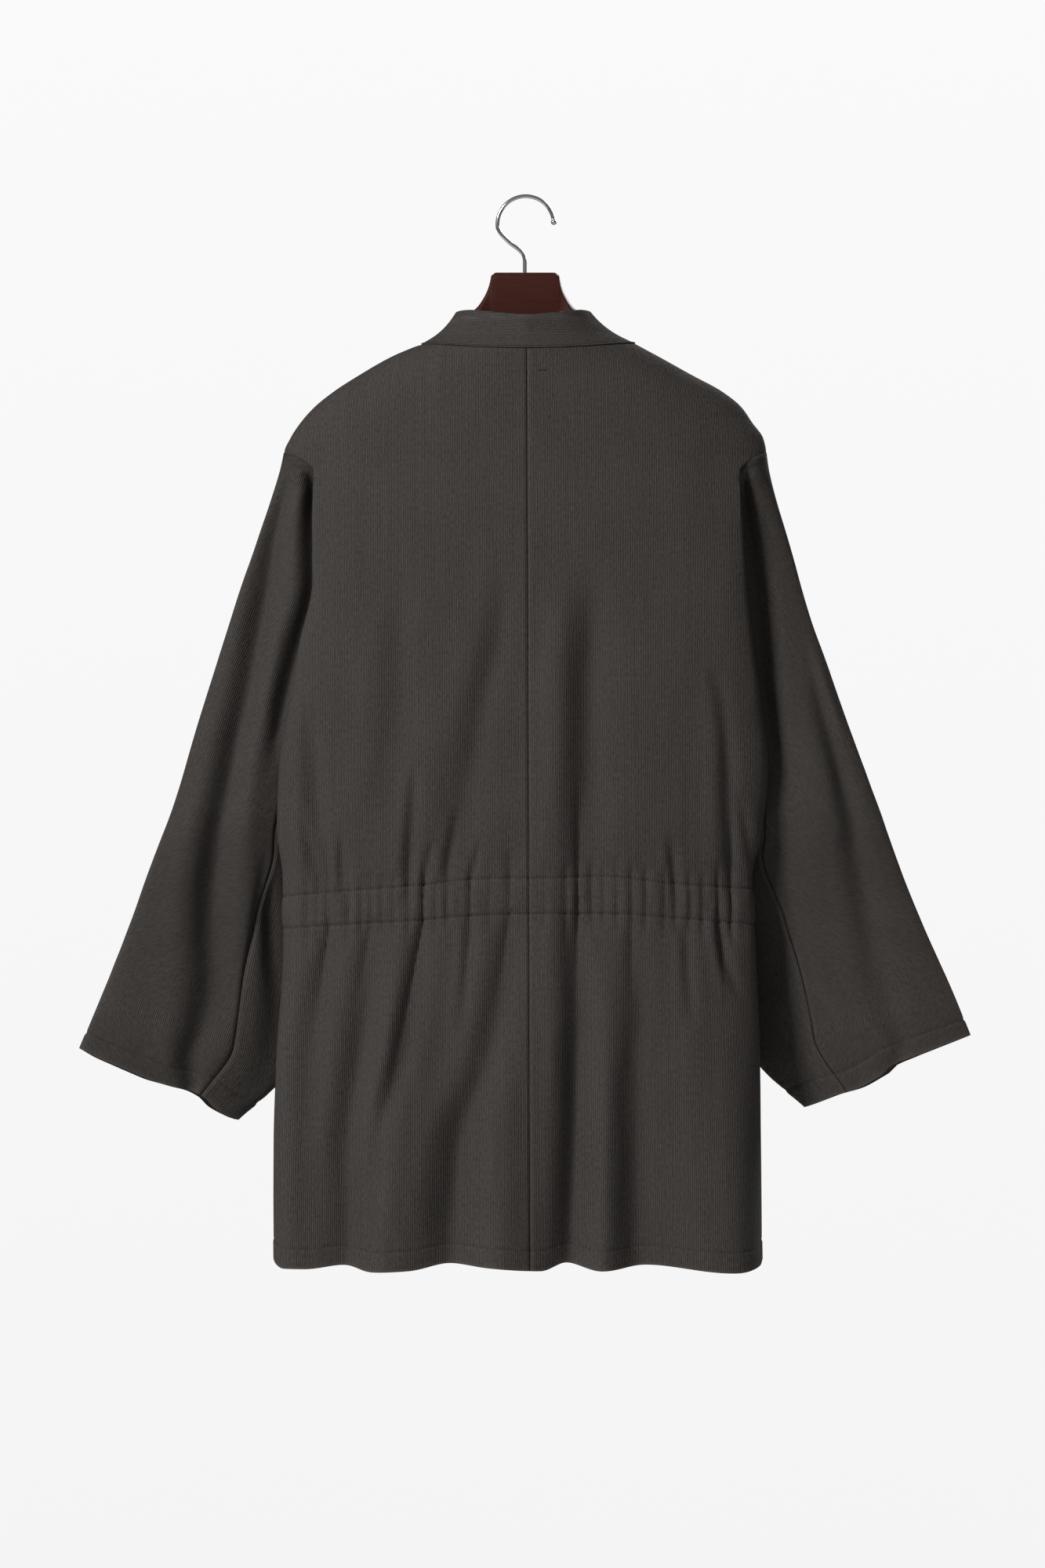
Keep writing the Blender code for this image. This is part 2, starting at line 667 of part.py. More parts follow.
def join_rows(bm, upper, upper_u, lower, lower_u):
    """Triangles between two rows of vertices, whatever number each row has."""
    i = 0
    j = 0
    while i < len(upper) - 1 or j < len(lower) - 1:
        take_upper = j == len(lower) - 1
        if i < len(upper) - 1 and j < len(lower) - 1:
            take_upper = upper_u[i] + upper_u[i + 1] <= lower_u[j] + lower_u[j + 1]
        if take_upper:
            bm.faces.new((upper[i], upper[i + 1], lower[j]))
            i += 1
        else:
            bm.faces.new((upper[i], lower[j + 1], lower[j]))
            j += 1


def make_object(name, bm, material):
    """An object from a closed mesh, with its faces turned out."""
    bmesh.ops.recalc_face_normals(bm, faces=bm.faces)
    mesh = bpy.data.meshes.new(name)
    bm.to_mesh(mesh)
    bm.free()
    mesh.materials.append(material)
    mesh.shade_smooth()
    mesh.set_sharp_from_angle(angle=math.radians(40))
    piece = bpy.data.objects.new(name, mesh)
    bpy.context.scene.collection.objects.link(piece)
    piece.parent = jacket
    return piece


def wall(name, surface, rows, thick, material, low=-1e9, high=1e9, square_start=False):
    """A closed wall of cloth round a surface. Each row is its place and its shares u.

    A square start keeps the wall's first edge in its own plane, so that it meets the next panel's.
    """
    bm = bmesh.new()
    sheets = []
    for way in (0.5, -0.5):
        sheet = []
        for row, us in rows:
            points, normals = skin(surface, us, row, low=low, high=high)
            if square_start:
                normals[0][0] = 0.0
            places = (points + normals * thick * way) * MM
            sheet.append([bm.verts.new(Vector(place)) for place in places])
        for k in range(len(rows) - 1):
            join_rows(bm, sheet[k], rows[k][1], sheet[k + 1], rows[k + 1][1])
        sheets.append(sheet)
    one, other = sheets
    for k in (0, -1):
        for a in range(len(one[k]) - 1):
            bm.faces.new((one[k][a], one[k][a + 1], other[k][a + 1], other[k][a]))
        for r in range(len(one) - 1):
            bm.faces.new((one[r][k], one[r + 1][k], other[r + 1][k], other[r][k]))
    return make_object(name, bm, material)


def finish(name, colour, roughness, metallic=0.0):
    """A plain surface colour for one piece."""
    material = bpy.data.materials.new(name)
    material.use_nodes = True
    shader = material.node_tree.nodes["Principled BSDF"]
    shader.inputs["Base Color"].default_value = (*colour, 1.0)
    shader.inputs["Roughness"].default_value = roughness
    shader.inputs["Metallic"].default_value = metallic
    return material


def gather_columns(side):
    """Shares u with a column in each pucker and one on the crest between two."""
    x, y = back_line(side, (CASING_TOP + CASING_BOTTOM) / 2)
    run = np.concatenate([[0.0], np.cumsum(np.hypot(np.diff(x), np.diff(y)))])
    run /= run[-1]
    places = sorted(abs(g.place) for g in GATHERS if g.place * side > 0)
    valleys = [float(np.interp(p, np.abs(x), run)) for p in places]
    crests = [(a + b) / 2 for a, b in zip(valleys, valleys[1:])]
    middle = sorted({0.0, *valleys, *SIDE_COLUMNS})
    return sorted({valleys[0] / 2, *middle, *crests}), middle


def build_backs():
    """The two back panels, with more columns where the casing puckers them."""
    for side, name in ((-1, "back_left"), (1, "back_right")):
        fine, middle = gather_columns(side)
        rows = [(d, PLAIN_COLUMNS) for d in BACK_TOP_ROWS + ARM_ROWS]
        rows += [(d, middle) for d in BACK_SOFT_ROWS]
        rows += [(d, fine) for d in BACK_CASING_ROWS]
        rows += [(d, middle) for d in BACK_SKIRT_ROWS]
        cloth = finish("cloth_" + name, CLOTH_COLOUR, CLOTH_ROUGH)
        wall(name, back_surface(side), rows, CLOTH, cloth, square_start=True)


def build_fronts():
    """The two front panels."""
    for side, name in ((-1, "front_left"), (1, "front_right")):
        rows = [(d, FRONT_SHORT_COLUMNS) for d in FRONT_TOP_ROWS]
        rows += [(d, FRONT_COLUMNS) for d in ARM_ROWS + FRONT_LOW_ROWS]
        wall(name, front_surface(side), rows, CLOTH, finish("cloth_" + name, CLOTH_COLOUR, CLOTH_ROUGH))


def build_sleeves():
    """The two sleeves, open on their inner side down to the underarm and closed tubes below it."""
    us = [i / SLEEVE_COLUMNS for i in range(SLEEVE_COLUMNS + 1)]
    for side, name in ((-1, "sleeve_left"), (1, "sleeve_right")):
        drops = [SLEEVE_TOP] + sorted(ARM_ROWS[2:] + SLEEVE_UNDERARM_ROWS) + SLEEVE_LOW_ROWS
        rows = [(d, us) for d in drops + [CUFFS[side].outer_drop]]
        wall(name, sleeve_surface(side), rows, CLOTH, finish("cloth_" + name, SLEEVE_COLOUR, CLOTH_ROUGH))


def build_collar():
    """The neckband, from one hem up round the neck and down to the other."""
    drops = FRONT_TOP_ROWS + ARM_ROWS[1:] + FRONT_LOW_ROWS
    places = [-1 - (d - NECK_DROP) / (HEM_DROP - NECK_DROP) for d in reversed(drops)]
    places += [-1 + i / BAND_NECK_STEPS for i in range(BAND_NECK_STEPS + 1)]
    places += [-p for p in reversed(places[:-1])]
    rows = [(p, BAND_COLUMNS) for p in places]
    collar_cloth = finish("cloth_collar", COLLAR_COLOUR, CLOTH_ROUGH)
    wall("collar", band_surface, rows, BAND_THICK, collar_cloth, low=-2.0, high=2.0)


def build_ties():
    """Two flat ties, each sewn to its front at its top and hanging down over it."""
    for name, (side, across) in TIES.items():
        over = BAND_THICK / 2 if side < 0 else CLOTH / 2
        lift = over + GAP + TIE_THICK / 2

        def tie(u, drop, side=side, across=across, lift=lift):
            points = [front_point(side, across + TIE_WIDTH * (k - 0.5), drop) for k in u]
            free = 0.8 + 3.5 * ease(drop, TIE_DROP, TIE_DROP + TIE_LENGTH)
            return np.array(points) + np.array([0.0, lift + free, 0.0])

        rows = [(TIE_DROP + TIE_LENGTH * i / TIE_ROWS, [0.0, 0.5, 1.0]) for i in range(TIE_ROWS + 1)]
        wall(name, tie, rows, TIE_THICK, finish("cloth_" + name, CLOTH_COLOUR, CLOTH_ROUGH))


def arm_top(side, across, half_depth):
    """The drop of the hanger's upper surface, just under the cloth past the neck."""
    drops = np.linspace(NECK_DROP, ARM_TOP, 60)
    widths = body_width[side](drops)
    spread = across / math.sqrt(max(1 - (half_depth / BODY_DEPTH[0].back) ** 2, 0.05))
    under_cloth = float(np.interp(spread, widths, drops)) + 1.8 + 2.2 * float(ease(across, 160.0, 190.0))
    near_head = straight(HANGER_HEAD, across) + 0.012 * half_depth**2
    blend = float(ease(across, 92.0, 102.0))
    return near_head * (1 - blend) + under_cloth * blend


def build_hanger():
    """The wood: rings of a rounded section from tip to tip, with a blind hole for the hook's stem."""
    bm = bmesh.new()
    rings = []
    stations = [-share for share in HANGER_STATIONS] + [0.0] + list(reversed(HANGER_STATIONS))
    for share in stations:
        side = -1 if share < 0 else 1
        across = abs(share) * HANGER_TIP[side]
        head = across < HANGER_HEAD[0].across + 1
        thin = straight(HANGER_HALF, across)
        tall = straight(HANGER_DEEP, across)
        ring = []
        for k in range(WOOD_SIDES):
            angle = 2 * math.pi * k / WOOD_SIDES
            y = thin * math.copysign(abs(math.sin(angle)) ** WOOD_SQUARE, math.sin(angle))
            if head:
                top = WOOD_TOP + 0.006 * y * y + (2.6 if across > 30 else 0.0)
            else:
                top = arm_top(side, across, abs(y))
            middle = WOOD_TOP if head else arm_top(side, across, 0.0)
            lower = middle + tall
            height = math.cos(angle)
            if height >= -0.01:
                drop = top + (1 - height) * 5.0
            else:
                drop = lower - 6.0 * (1 + height)
            ring.append(bm.verts.new(Vector((share * HANGER_TIP[side], y, -drop)) * MM))
        rings.append(ring)
    for one, other in zip(rings, rings[1:]):
        for k in range(WOOD_SIDES):
            n = (k + 1) % WOOD_SIDES
            bm.faces.new((one[k], one[n], other[n], other[k]))
    bm.faces.new(rings[0])
    bm.faces.new(rings[-1])
    bmesh.ops.triangulate(bm, faces=bm.faces)
    wood = make_object("hanger_wood", bm, finish("wood", WOOD_COLOUR, WOOD_ROUGH))
    hole = bmesh.new()
    bmesh.ops.create_cone(
        hole,
        cap_ends=True,
        segments=16,
        radius1=(HOOK_WIRE / 2 + GAP) * MM,
        radius2=(HOOK_WIRE / 2 + GAP) * MM,
        depth=2 * STEM_DEPTH * MM,
    )
    bmesh.ops.translate(hole, verts=hole.verts, vec=Vector((STEM_ACROSS, 0.0, -WOOD_TOP)) * MM)
    cutter = make_object("stem_hole_cutter", hole, wood.data.materials[0])
    cutter.hide_render = True
    cutter.display_type = "WIRE"
    cut = wood.modifiers.new("stem hole", "BOOLEAN")
    cut.operation = "DIFFERENCE"
    cut.object = cutter


def hook_route():
    """The wire's middle line: the ring from its free end over the top, an easy bend, then the stem."""
    points = []
    for i in range(RING_STEPS + 1):
        angle = math.radians(RING_START + (RING_END - RING_START) * i / RING_STEPS)
        points.append((RING_ACROSS + HOOK_RADIUS * math.cos(angle), RING_UP + HOOK_RADIUS * math.sin(angle)))
    return points + [(bend.across, bend.up) for bend in HOOK_BEND]


def build_hook():
    """The hook: one wire with a rounded ball at its free end."""
    route = hook_route()
    first = Vector((route[0][0], 0.0, route[0][1]))
    back = Vector((math.sin(math.radians(RING_START)), 0.0, -math.cos(math.radians(RING_START))))
    rings = []
    for share in BALL_SHARES:
        centre = first + back * (2.0 - HOOK_BALL * share)
        rings.append((centre, HOOK_BALL * math.sqrt(1 - share * share), -back))
    for i, (x, z) in enumerate(route):
        before = route[max(i - 1, 0)]
        after = route[min(i + 1, len(route) - 1)]
        way = Vector((after[0] - before[0], 0.0, after[1] - before[1])).normalized()
        rings.append((Vector((x, 0.0, z)), HOOK_WIRE / 2, way))
    bm = bmesh.new()
    loops = []
    across = Vector((0.0, 1.0, 0.0))
    for centre, radius, way in rings:
        side = way.cross(across).normalized()
        loop = []
        for k in range(WIRE_SIDES):
            angle = 2 * math.pi * k / WIRE_SIDES
            place = centre + (across * math.cos(angle) + side * math.sin(angle)) * radius
            loop.append(bm.verts.new(place * MM))
        loops.append(loop)
    for one, other in zip(loops, loops[1:]):
        for k in range(WIRE_SIDES):
            n = (k + 1) % WIRE_SIDES
            bm.faces.new((one[k], one[n], other[n], other[k]))
    bm.faces.new(loops[0])
    bm.faces.new(loops[-1])
    bmesh.ops.triangulate(bm, faces=bm.faces)
    make_object("hanger_hook", bm, finish("chrome", CHROME_COLOUR, CHROME_ROUGH, 1.0))


for old in list(bpy.data.objects):
    bpy.data.objects.remove(old, do_unlink=True)

jacket = bpy.data.objects.new("samue_jacket_on_hanger", None)
bpy.context.scene.collection.objects.link(jacket)

build_backs()
build_fronts()
build_sleeves()
build_collar()
build_ties()
build_hanger()
build_hook()
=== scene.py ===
"""The looks of a samue jacket on a wooden hanger, with its back to the camera.

Sizes are in millimetres. A drop is how far a point lies under the origin, the top of the hook's inside.
Left and right are the wearer's: left is -X. The cloth follows the solids closely and adds its finer relief.
"""

import math
from collections import namedtuple

import bmesh
import bpy
import numpy as np
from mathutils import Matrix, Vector


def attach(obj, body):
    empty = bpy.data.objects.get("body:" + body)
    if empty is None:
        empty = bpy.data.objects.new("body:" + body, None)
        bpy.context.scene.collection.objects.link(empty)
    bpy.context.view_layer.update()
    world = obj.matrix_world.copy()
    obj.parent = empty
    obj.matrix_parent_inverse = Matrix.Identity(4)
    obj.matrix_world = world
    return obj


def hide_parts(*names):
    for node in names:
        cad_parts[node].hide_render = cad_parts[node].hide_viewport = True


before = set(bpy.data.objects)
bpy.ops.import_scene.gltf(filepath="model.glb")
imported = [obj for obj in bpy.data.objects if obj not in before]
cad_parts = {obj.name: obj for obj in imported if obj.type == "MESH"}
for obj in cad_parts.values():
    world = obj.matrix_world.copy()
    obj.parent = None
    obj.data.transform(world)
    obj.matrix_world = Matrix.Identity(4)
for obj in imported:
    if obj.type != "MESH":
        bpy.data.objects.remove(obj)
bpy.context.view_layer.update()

# The studio: a white surround, which gives little of the light, a soft light from the upper left and another
# from the far right, and a pale floor far below. The camera stands level, five metres behind the jacket.
MM = 0.001
CAMERA_AWAY = 5.0
CAMERA_ACROSS = -0.0025
CAMERA_HEIGHT = -0.538
FRAME_HEIGHT = 1.44
SENSOR = 36.0
FLOOR_HEIGHT = -1.7
FLOOR_RADIUS = 3.0
SURROUND_HIGH = (0.955, 0.955, 0.955, 1.0)
SURROUND_LOW = (0.905, 0.905, 0.905, 1.0)
SURROUND_LIGHT = 0.2
FLOOR_DARK = (0.74, 0.74, 0.74, 1.0)
FLOOR_LIGHT = (0.78, 0.78, 0.78, 1.0)
LIGHTS_AIM = (0.0, 0.0, -0.5)

Light = namedtuple("Light", "place size power")
LIGHTS = {
    "key_light": Light((-2.6, -3.1, 1.8), 1.1, 262.0),
    "far_light": Light((2.3, 3.4, 1.5), 2.0, 150.0),
}

bpy.context.scene.view_settings.view_transform = "Standard"
bpy.context.scene.view_settings.look = "None"


def add_object(name, data):
    """A new object in the scene."""
    made = bpy.data.objects.new(name, data)
    bpy.context.scene.collection.objects.link(made)
    return made


lens = bpy.data.cameras.new("camera")
lens.sensor_width = SENSOR
lens.lens = SENSOR * CAMERA_AWAY / FRAME_HEIGHT
lens.clip_end = 50.0
camera = add_object("camera", lens)
camera.location = (CAMERA_ACROSS, -CAMERA_AWAY, CAMERA_HEIGHT)
camera.rotation_euler = (math.radians(90.0), 0.0, 0.0)
bpy.context.scene.camera = camera


def node(tree, kind, *inputs, **settings):
    """A shader node, with its settings and with what goes into its sockets, in their order."""
    made = tree.nodes.new("ShaderNode" + kind)
    for name, value in settings.items():
        setattr(made, name, value)
    for socket, value in zip(made.inputs, inputs):
        if isinstance(value, bpy.types.NodeSocket):
            tree.links.new(value, socket)
        elif value is not None:
            socket.default_value = value
    return made


def blend_colour(tree, factor, first, second):
    """A mix of two colours by a factor."""
    mix = node(tree, "Mix", data_type="RGBA")
    for place, value in ((0, factor), (6, first), (7, second)):
        if isinstance(value, bpy.types.NodeSocket):
            tree.links.new(value, mix.inputs[place])
        else:
            mix.inputs[place].default_value = value
    return mix.outputs[2]


surround = bpy.data.worlds.new("white_surround")
surround.use_nodes = True
bpy.context.scene.world = surround
sky = surround.node_tree
way = node(sky, "TexCoord").outputs["Generated"]
up = node(sky, "SeparateXYZ", way).outputs["Z"]
share_up = node(sky, "MapRange", up, -0.15, 0.15, 0.0, 1.0).outputs[0]
sky_colour = blend_colour(sky, share_up, SURROUND_LOW, SURROUND_HIGH)
sky.links.new(sky_colour, sky.nodes["Background"].inputs["Color"])
seen = node(sky, "LightPath").outputs["Is Camera Ray"]
glow = node(sky, "MapRange", seen, 0.0, 1.0, SURROUND_LIGHT, 1.0).outputs[0]
sky.links.new(glow, sky.nodes["Background"].inputs["Strength"])


def new_material(name, roughness):
    """A new material, with its nodes and its shader."""
    material = bpy.data.materials.new(name)
    material.use_nodes = True
    shader = material.node_tree.nodes["Principled BSDF"]
    shader.inputs["Roughness"].default_value = roughness
    return material, material.node_tree, shader


for name, light in LIGHTS.items():
    lamp = bpy.data.lights.new(name, "AREA")
    lamp.shape = "SQUARE"
    lamp.size = light.size
    lamp.energy = light.power
    box = add_object(name, lamp)
    box.location = light.place
    box.rotation_euler = (Vector(LIGHTS_AIM) - Vector(light.place)).to_track_quat("-Z", "Y").to_euler()

bpy.ops.mesh.primitive_circle_add(
    vertices=128, radius=FLOOR_RADIUS, fill_type="NGON", location=(0, 0, FLOOR_HEIGHT))
floor = bpy.context.object
floor.name = "pale_floor"
paint, floor_tree, floor_shader = new_material("pale_paint", 0.9)
speckle = node(floor_tree, "TexNoise", None, None, 60.0, 3.0).outputs[0]
pale = blend_colour(floor_tree, speckle, FLOOR_DARK, FLOOR_LIGHT)
floor_tree.links.new(pale, floor_shader.inputs["Base Color"])
floor.data.materials.append(paint)

# The two back panels: charcoal cotton with a fine crinkled rib down it, joined by a centre seam. Two rows of
# stitching make a casing at the waist, which gathers the cloth into puckers, and a hem ends each panel.
CLOTH = 1.2
GAP = 0.3
NECK_DROP = 134.6
ARM_TOP = 234.0
UNDERARM = 502.0
HEM_DROP = 978.0
BACK_NECK_DIP = 7.0
HEM_DEEP = 18.0
HEM_ROW = HEM_DROP - HEM_DEEP
HEM_DOUBLED = 0.9
CELLS = 64
SHIFT = 300.0
RIB_PITCH = 1.6
BACK_COLOUR = (0.0405, 0.0356, 0.0322)
THREAD_COLOUR = (0.012, 0.011, 0.0105)


def table(kind, rows):
    """Rows with named values."""
    return [kind(*row) for row in rows]


Width = namedtuple("Width", "drop left right")
BODY_WIDTH = table(Width, [
    (134.6, 95.0, 100.8), (146.2, 122.4, 122.4), (163.4, 152.6, 153.4), (177.8, 175.0, 180.0),
    (192.2, 193.0, 198.0), (206.6, 205.9, 208.1), (221.0, 215.3, 218.2), (234.0, 220.7, 220.7),
    (238.0, 209.5, 211.0), (244.0, 199.6, 202.0), (252.0, 193.0, 196.0), (293.0, 193.7, 197.3),
    (350.6, 193.7, 200.9), (408.2, 205.2, 206.6), (465.8, 214.6, 214.6), (523.4, 224.6, 221.8),
    (581.0, 226.8, 216.5), (624.2, 222.0, 207.5), (681.8, 221.5, 210.2), (782.6, 225.4, 214.6),
    (897.8, 229.0, 216.0), (978.0, 229.0, 216.5),
])

Depth = namedtuple("Depth", "drop back front square")
BODY_DEPTH = table(Depth, [
    (134.6, 50.0, 52.0, 2.0), (234.0, 50.0, 53.0, 2.0), (300.0, 54.0, 56.0, 2.5),
    (450.0, 56.0, 58.0, 2.6), (560.0, 53.0, 57.0, 2.5), (642.0, 47.0, 55.0, 2.3),
    (720.0, 51.0, 57.0, 2.3), (978.0, 61.0, 64.0, 2.4),
])

Turn = namedtuple("Turn", "drop fold inset edge sweep")
SIDE_TURN = table(Turn, [
    (234.0, 0.5, 0.3, 0.4, 30.0), (236.0, 11.0, 0.3, 10.6, 30.0), (240.0, 18.0, 0.5, 17.6, 40.0),
    (246.0, 23.0, 1.5, 21.0, 60.0), (254.0, 26.0, 6.0, 17.5, 80.0), (268.0, 28.0, 12.0, 13.0, 85.0),
    (400.0, 29.0, 14.0, 12.0, 85.0), (440.0, 26.0, 13.0, 11.0, 80.0), (475.0, 20.0, 11.0, 6.5, 68.0),
    (502.0, 16.0, 8.0, 0.9, 50.0), (560.0, 10.0, 6.0, 0.8, 45.0), (620.0, 8.0, 5.5, 0.8, 45.0),
    (780.0, 8.0, 5.0, 0.8, 45.0), (900.0, 6.0, 3.0, 0.7, 40.0), (928.0, 6.0, 3.0, 0.8, 40.0),
    (978.0, 8.0, 3.0, 4.0, 40.0),
])

# How wide the smooth arc of the shoulders would be further down, were it not cut by the side folds.
Reach = namedtuple("Reach", "drop wide")
SHOULDER_REACH = table(Reach, [
    (234.0, 220.7), (300.0, 231.0), (400.0, 240.0),
])

Gather = namedtuple("Gather", "place depth up down lean")
GATHERS = table(Gather, [
    (-199.0, 2.4, 45.0, 35.0, 0.0), (-190.0, 1.8, 20.0, 22.0, 0.0), (-180.0, 4.0, 60.0, 95.0, -0.15),
    (-161.0, 2.4, 42.0, 28.0, 0.0), (-150.0, 1.8, 16.0, 20.0, 0.0), (-140.5, 2.2, 20.0, 90.0, -0.2),
    (-131.0, 1.8, 15.0, 15.0, 0.0), (-119.5, 2.2, 18.0, 18.0, 0.0), (-106.5, 2.4, 66.0, 24.0, 0.0),
    (-93.0, 4.2, 40.0, 190.0, -0.2), (-81.0, 1.8, 15.0, 18.0, 0.0), (-71.0, 2.0, 48.0, 16.0, 0.0),
    (-50.0, 2.4, 36.0, 40.0, 0.0), (-32.0, 1.2, 20.0, 20.0, 0.0), (-14.0, 2.4, 32.0, 90.0, -0.15),
    (18.0, 1.2, 20.0, 20.0, 0.0), (37.0, 2.2, 20.0, 40.0, 0.0), (48.0, 3.4, 95.0, 90.0, 0.0),
    (61.0, 2.0, 20.0, 20.0, 0.0), (72.0, 1.8, 15.0, 15.0, 0.0), (84.0, 2.0, 25.0, 20.0, 0.0),
    (97.0, 2.4, 20.0, 95.0, 0.0), (110.0, 2.0, 20.0, 24.0, 0.0), (127.0, 2.2, 24.0, 24.0, 0.0),
    (137.0, 2.6, 50.0, 20.0, 0.1), (150.0, 1.8, 20.0, 20.0, 0.0), (162.0, 2.0, 20.0, 20.0, 0.0),
    (176.0, 3.2, 30.0, 85.0, 0.1), (189.0, 3.8, 90.0, 30.0, 0.05),
])
GATHER_WIDTH = 4.6
LONG_GATHER_WIDTH = 8.0

# The casing's two stitched rows sag a little towards the sides.
CASING_LEVEL = 640.0
Casing = namedtuple("Casing", "place upper lower")
CASING = table(Casing, [
    (-229.0, 641.5, 670.5), (-220.0, 640.8, 670.0), (-180.0, 637.0, 667.0), (-94.0, 630.0, 661.7),
    (-50.0, 625.0, 658.0), (2.0, 623.5, 656.0), (74.0, 622.8, 656.0), (137.0, 629.0, 660.0),
    (209.0, 633.8, 666.0), (216.0, 634.2, 666.6),
])

# The long soft folds: the places and drops that each passes, how wide it is, and how far it stands out.
Fold = namedtuple("Fold", "way wide out")
BACK_FOLDS = [
    Fold([(62, 290), (61, 390), (58, 480), (55, 560), (51, 650)], 16.0, -6.5),
    Fold([(30, 330), (31, 480), (28, 620)], 14.0, 2.0),
    Fold([(-17, 300), (-22, 390), (-39, 473), (-54, 560), (-66, 645)], 13.0, -4.2),
    Fold([(-110, 340), (-117, 470), (-126, 570)], 13.0, -3.2),
    Fold([(-78, 400), (-88, 500), (-96, 600)], 14.0, 1.8),
    Fold([(-100, 520), (-104, 600), (-107, 650)], 5.5, -3.8),
    Fold([(-197, 460), (-190, 560), (-180, 645)], 9.0, -5.5),
    Fold([(-206, 560), (-196, 600), (-186, 640)], 4.5, -2.6),
    Fold([(-168, 580), (-167, 650)], 4.5, -3.8),
    Fold([(-86, 590), (-91, 645)], 4.0, -3.0),
    Fold([(-62, 560), (-72, 630)], 4.5, -2.4),
    Fold([(-40, 585), (-50, 635)], 3.5, -2.0),
    Fold([(172, 430), (182, 480), (187, 560), (190, 650)], 7.5, -4.2),
    Fold([(196, 545), (208, 615)], 5.0, -2.6),
    Fold([(131, 585), (138, 645)], 4.0, -2.4),
    Fold([(-172, 655), (-187, 720), (-197, 800), (-196, 890), (-194, 1040)], 13.0, -8.5),
    Fold([(-137, 655), (-142, 720), (-152, 800), (-163, 900), (-166, 1040)], 14.0, -9.5),
    Fold([(-91, 650), (-97, 700), (-110, 780), (-131, 850), (-146, 960)], 11.0, -7.5),
    Fold([(-112, 700), (-128, 800), (-150, 900)], 11.0, 2.2),
    Fold([(-50, 655), (-52, 700), (-57, 765)], 5.0, -3.0),
    Fold([(-9, 650), (-18, 710), (-34, 790), (-58, 870), (-70, 1040)], 15.0, -9.5),
    Fold([(45, 640), (46, 690), (50, 760), (50, 840), (45, 1060)], 14.0, -15.0),
    Fold([(101, 660), (104, 740), (99, 830), (98, 1040)], 14.0, -6.5),
    Fold([(146, 655), (148, 700), (152, 760)], 5.0, -2.2),
    Fold([(177, 650), (182, 690), (195, 735)], 5.0, -4.0),
    Fold([(150, 700), (152, 800), (150, 940)], 16.0, 2.0),
]

Wave = namedtuple("Wave", "place out")
BACK_WAVES = table(Wave, [
    (-229.0, 0.0), (-209.0, 9.0), (-166.0, -9.0), (-126.0, 12.0), (-68.0, -11.0), (-22.0, 12.0),
    (37.0, -13.0), (68.0, 8.0), (110.0, -10.0), (188.0, 12.0), (216.0, 0.0),
])
WAVES_START = 650.0

# How much lower than its mean line the hem hangs at each place across.
Low = namedtuple("Low", "place lower")
BACK_HEM = table(Low, [
    (-229.0, -7.0), (-214.0, 2.0), (-200.0, 2.0), (-169.0, -2.0), (-137.0, 3.5), (-105.0, 2.0),
    (-70.0, -4.5), (-34.0, -1.0), (14.0, 2.0), (37.0, -5.0), (69.0, 2.0), (111.0, -3.0), (188.0, 5.5),
    (212.0, 0.0), (217.0, -6.0),
])


def course(places, values):
    """A smooth function through a table's points, which never swings past them."""
    places = np.array(places, float)
    values = np.array(values, float)
    step = np.diff(places)
    rise = np.diff(values) / step
    slope = np.zeros(len(values))
    slope[0] = rise[0]
    slope[-1] = rise[-1]
    same_way = rise[:-1] * rise[1:] > 0
    total = np.where(same_way, rise[:-1] + rise[1:], 1.0)
    slope[1:-1] = np.where(same_way, 2.0 * rise[:-1] * rise[1:] / total, 0.0)

    def at(place):
        place = np.clip(place, places[0], places[-1])
        i = np.clip(np.searchsorted(places, place, side="right") - 1, 0, len(step) - 1)
        t = (place - places[i]) / step[i]
        before = (1 + 2 * t) * (1 - t) ** 2 * values[i] + t * (1 - t) ** 2 * step[i] * slope[i]
        after = t * t * (3 - 2 * t) * values[i + 1] + t * t * (t - 1) * step[i] * slope[i + 1]
        return before + after

    return at


def column(table, name, place="drop"):
    """The course of one named column of a table."""
    return course([getattr(row, place) for row in table], [getattr(row, name) for row in table])


def ease(value, start, end):
    """0 before start, 1 after end, and smooth between."""
    t = np.clip((value - start) / (end - start), 0.0, 1.0)
    return t * t * (3 - 2 * t)


def bell(value, middle, wide):
    """1 at the middle, falling off softly on both sides."""
    return np.exp(-(((value - middle) / wide) ** 2))


body_width = {-1: column(BODY_WIDTH, "left"), 1: column(BODY_WIDTH, "right")}
back_depth = column(BODY_DEPTH, "back")
front_depth = column(BODY_DEPTH, "front")
squareness = column(BODY_DEPTH, "square")
turn_fold = column(SIDE_TURN, "fold")
turn_inset = column(SIDE_TURN, "inset")
turn_edge = column(SIDE_TURN, "edge")
turn_sweep = column(SIDE_TURN, "sweep")
shoulder_reach = column(SHOULDER_REACH, "wide")
casing_upper = column(CASING, "upper", "place")
casing_lower = column(CASING, "lower", "place")
back_wave = column(BACK_WAVES, "out", "place")
back_hem = column(BACK_HEM, "lower", "place")


def centre_seam(drop):
    """The centre-back seam leans a little to the wearer's right on its way down."""
    return 1.4 + 2.9 * (drop - NECK_DROP) / (HEM_DROP - NECK_DROP)


def arc_height(across, half_width, depth, drop):
    """How far a section stands out at a place across. Its side fold cuts the smooth arc of the shoulders."""
    square = squareness(drop)
    share = np.clip(np.abs(across) / half_width, 0.0, 1.0)
    reach = half_width * 1.00001 if drop <= ARM_TOP else max(shoulder_reach(drop), half_width * 1.001)
    arc = depth * (1 - (share * half_width / reach) ** square) ** (1 / square)
    fold = turn_fold(drop)
    rounded = fold + (depth - fold) * (1 - share**square) ** (1 / square)
    blend = ease(drop, 260.0, 400.0)
    return arc * (1 - blend) + rounded * blend


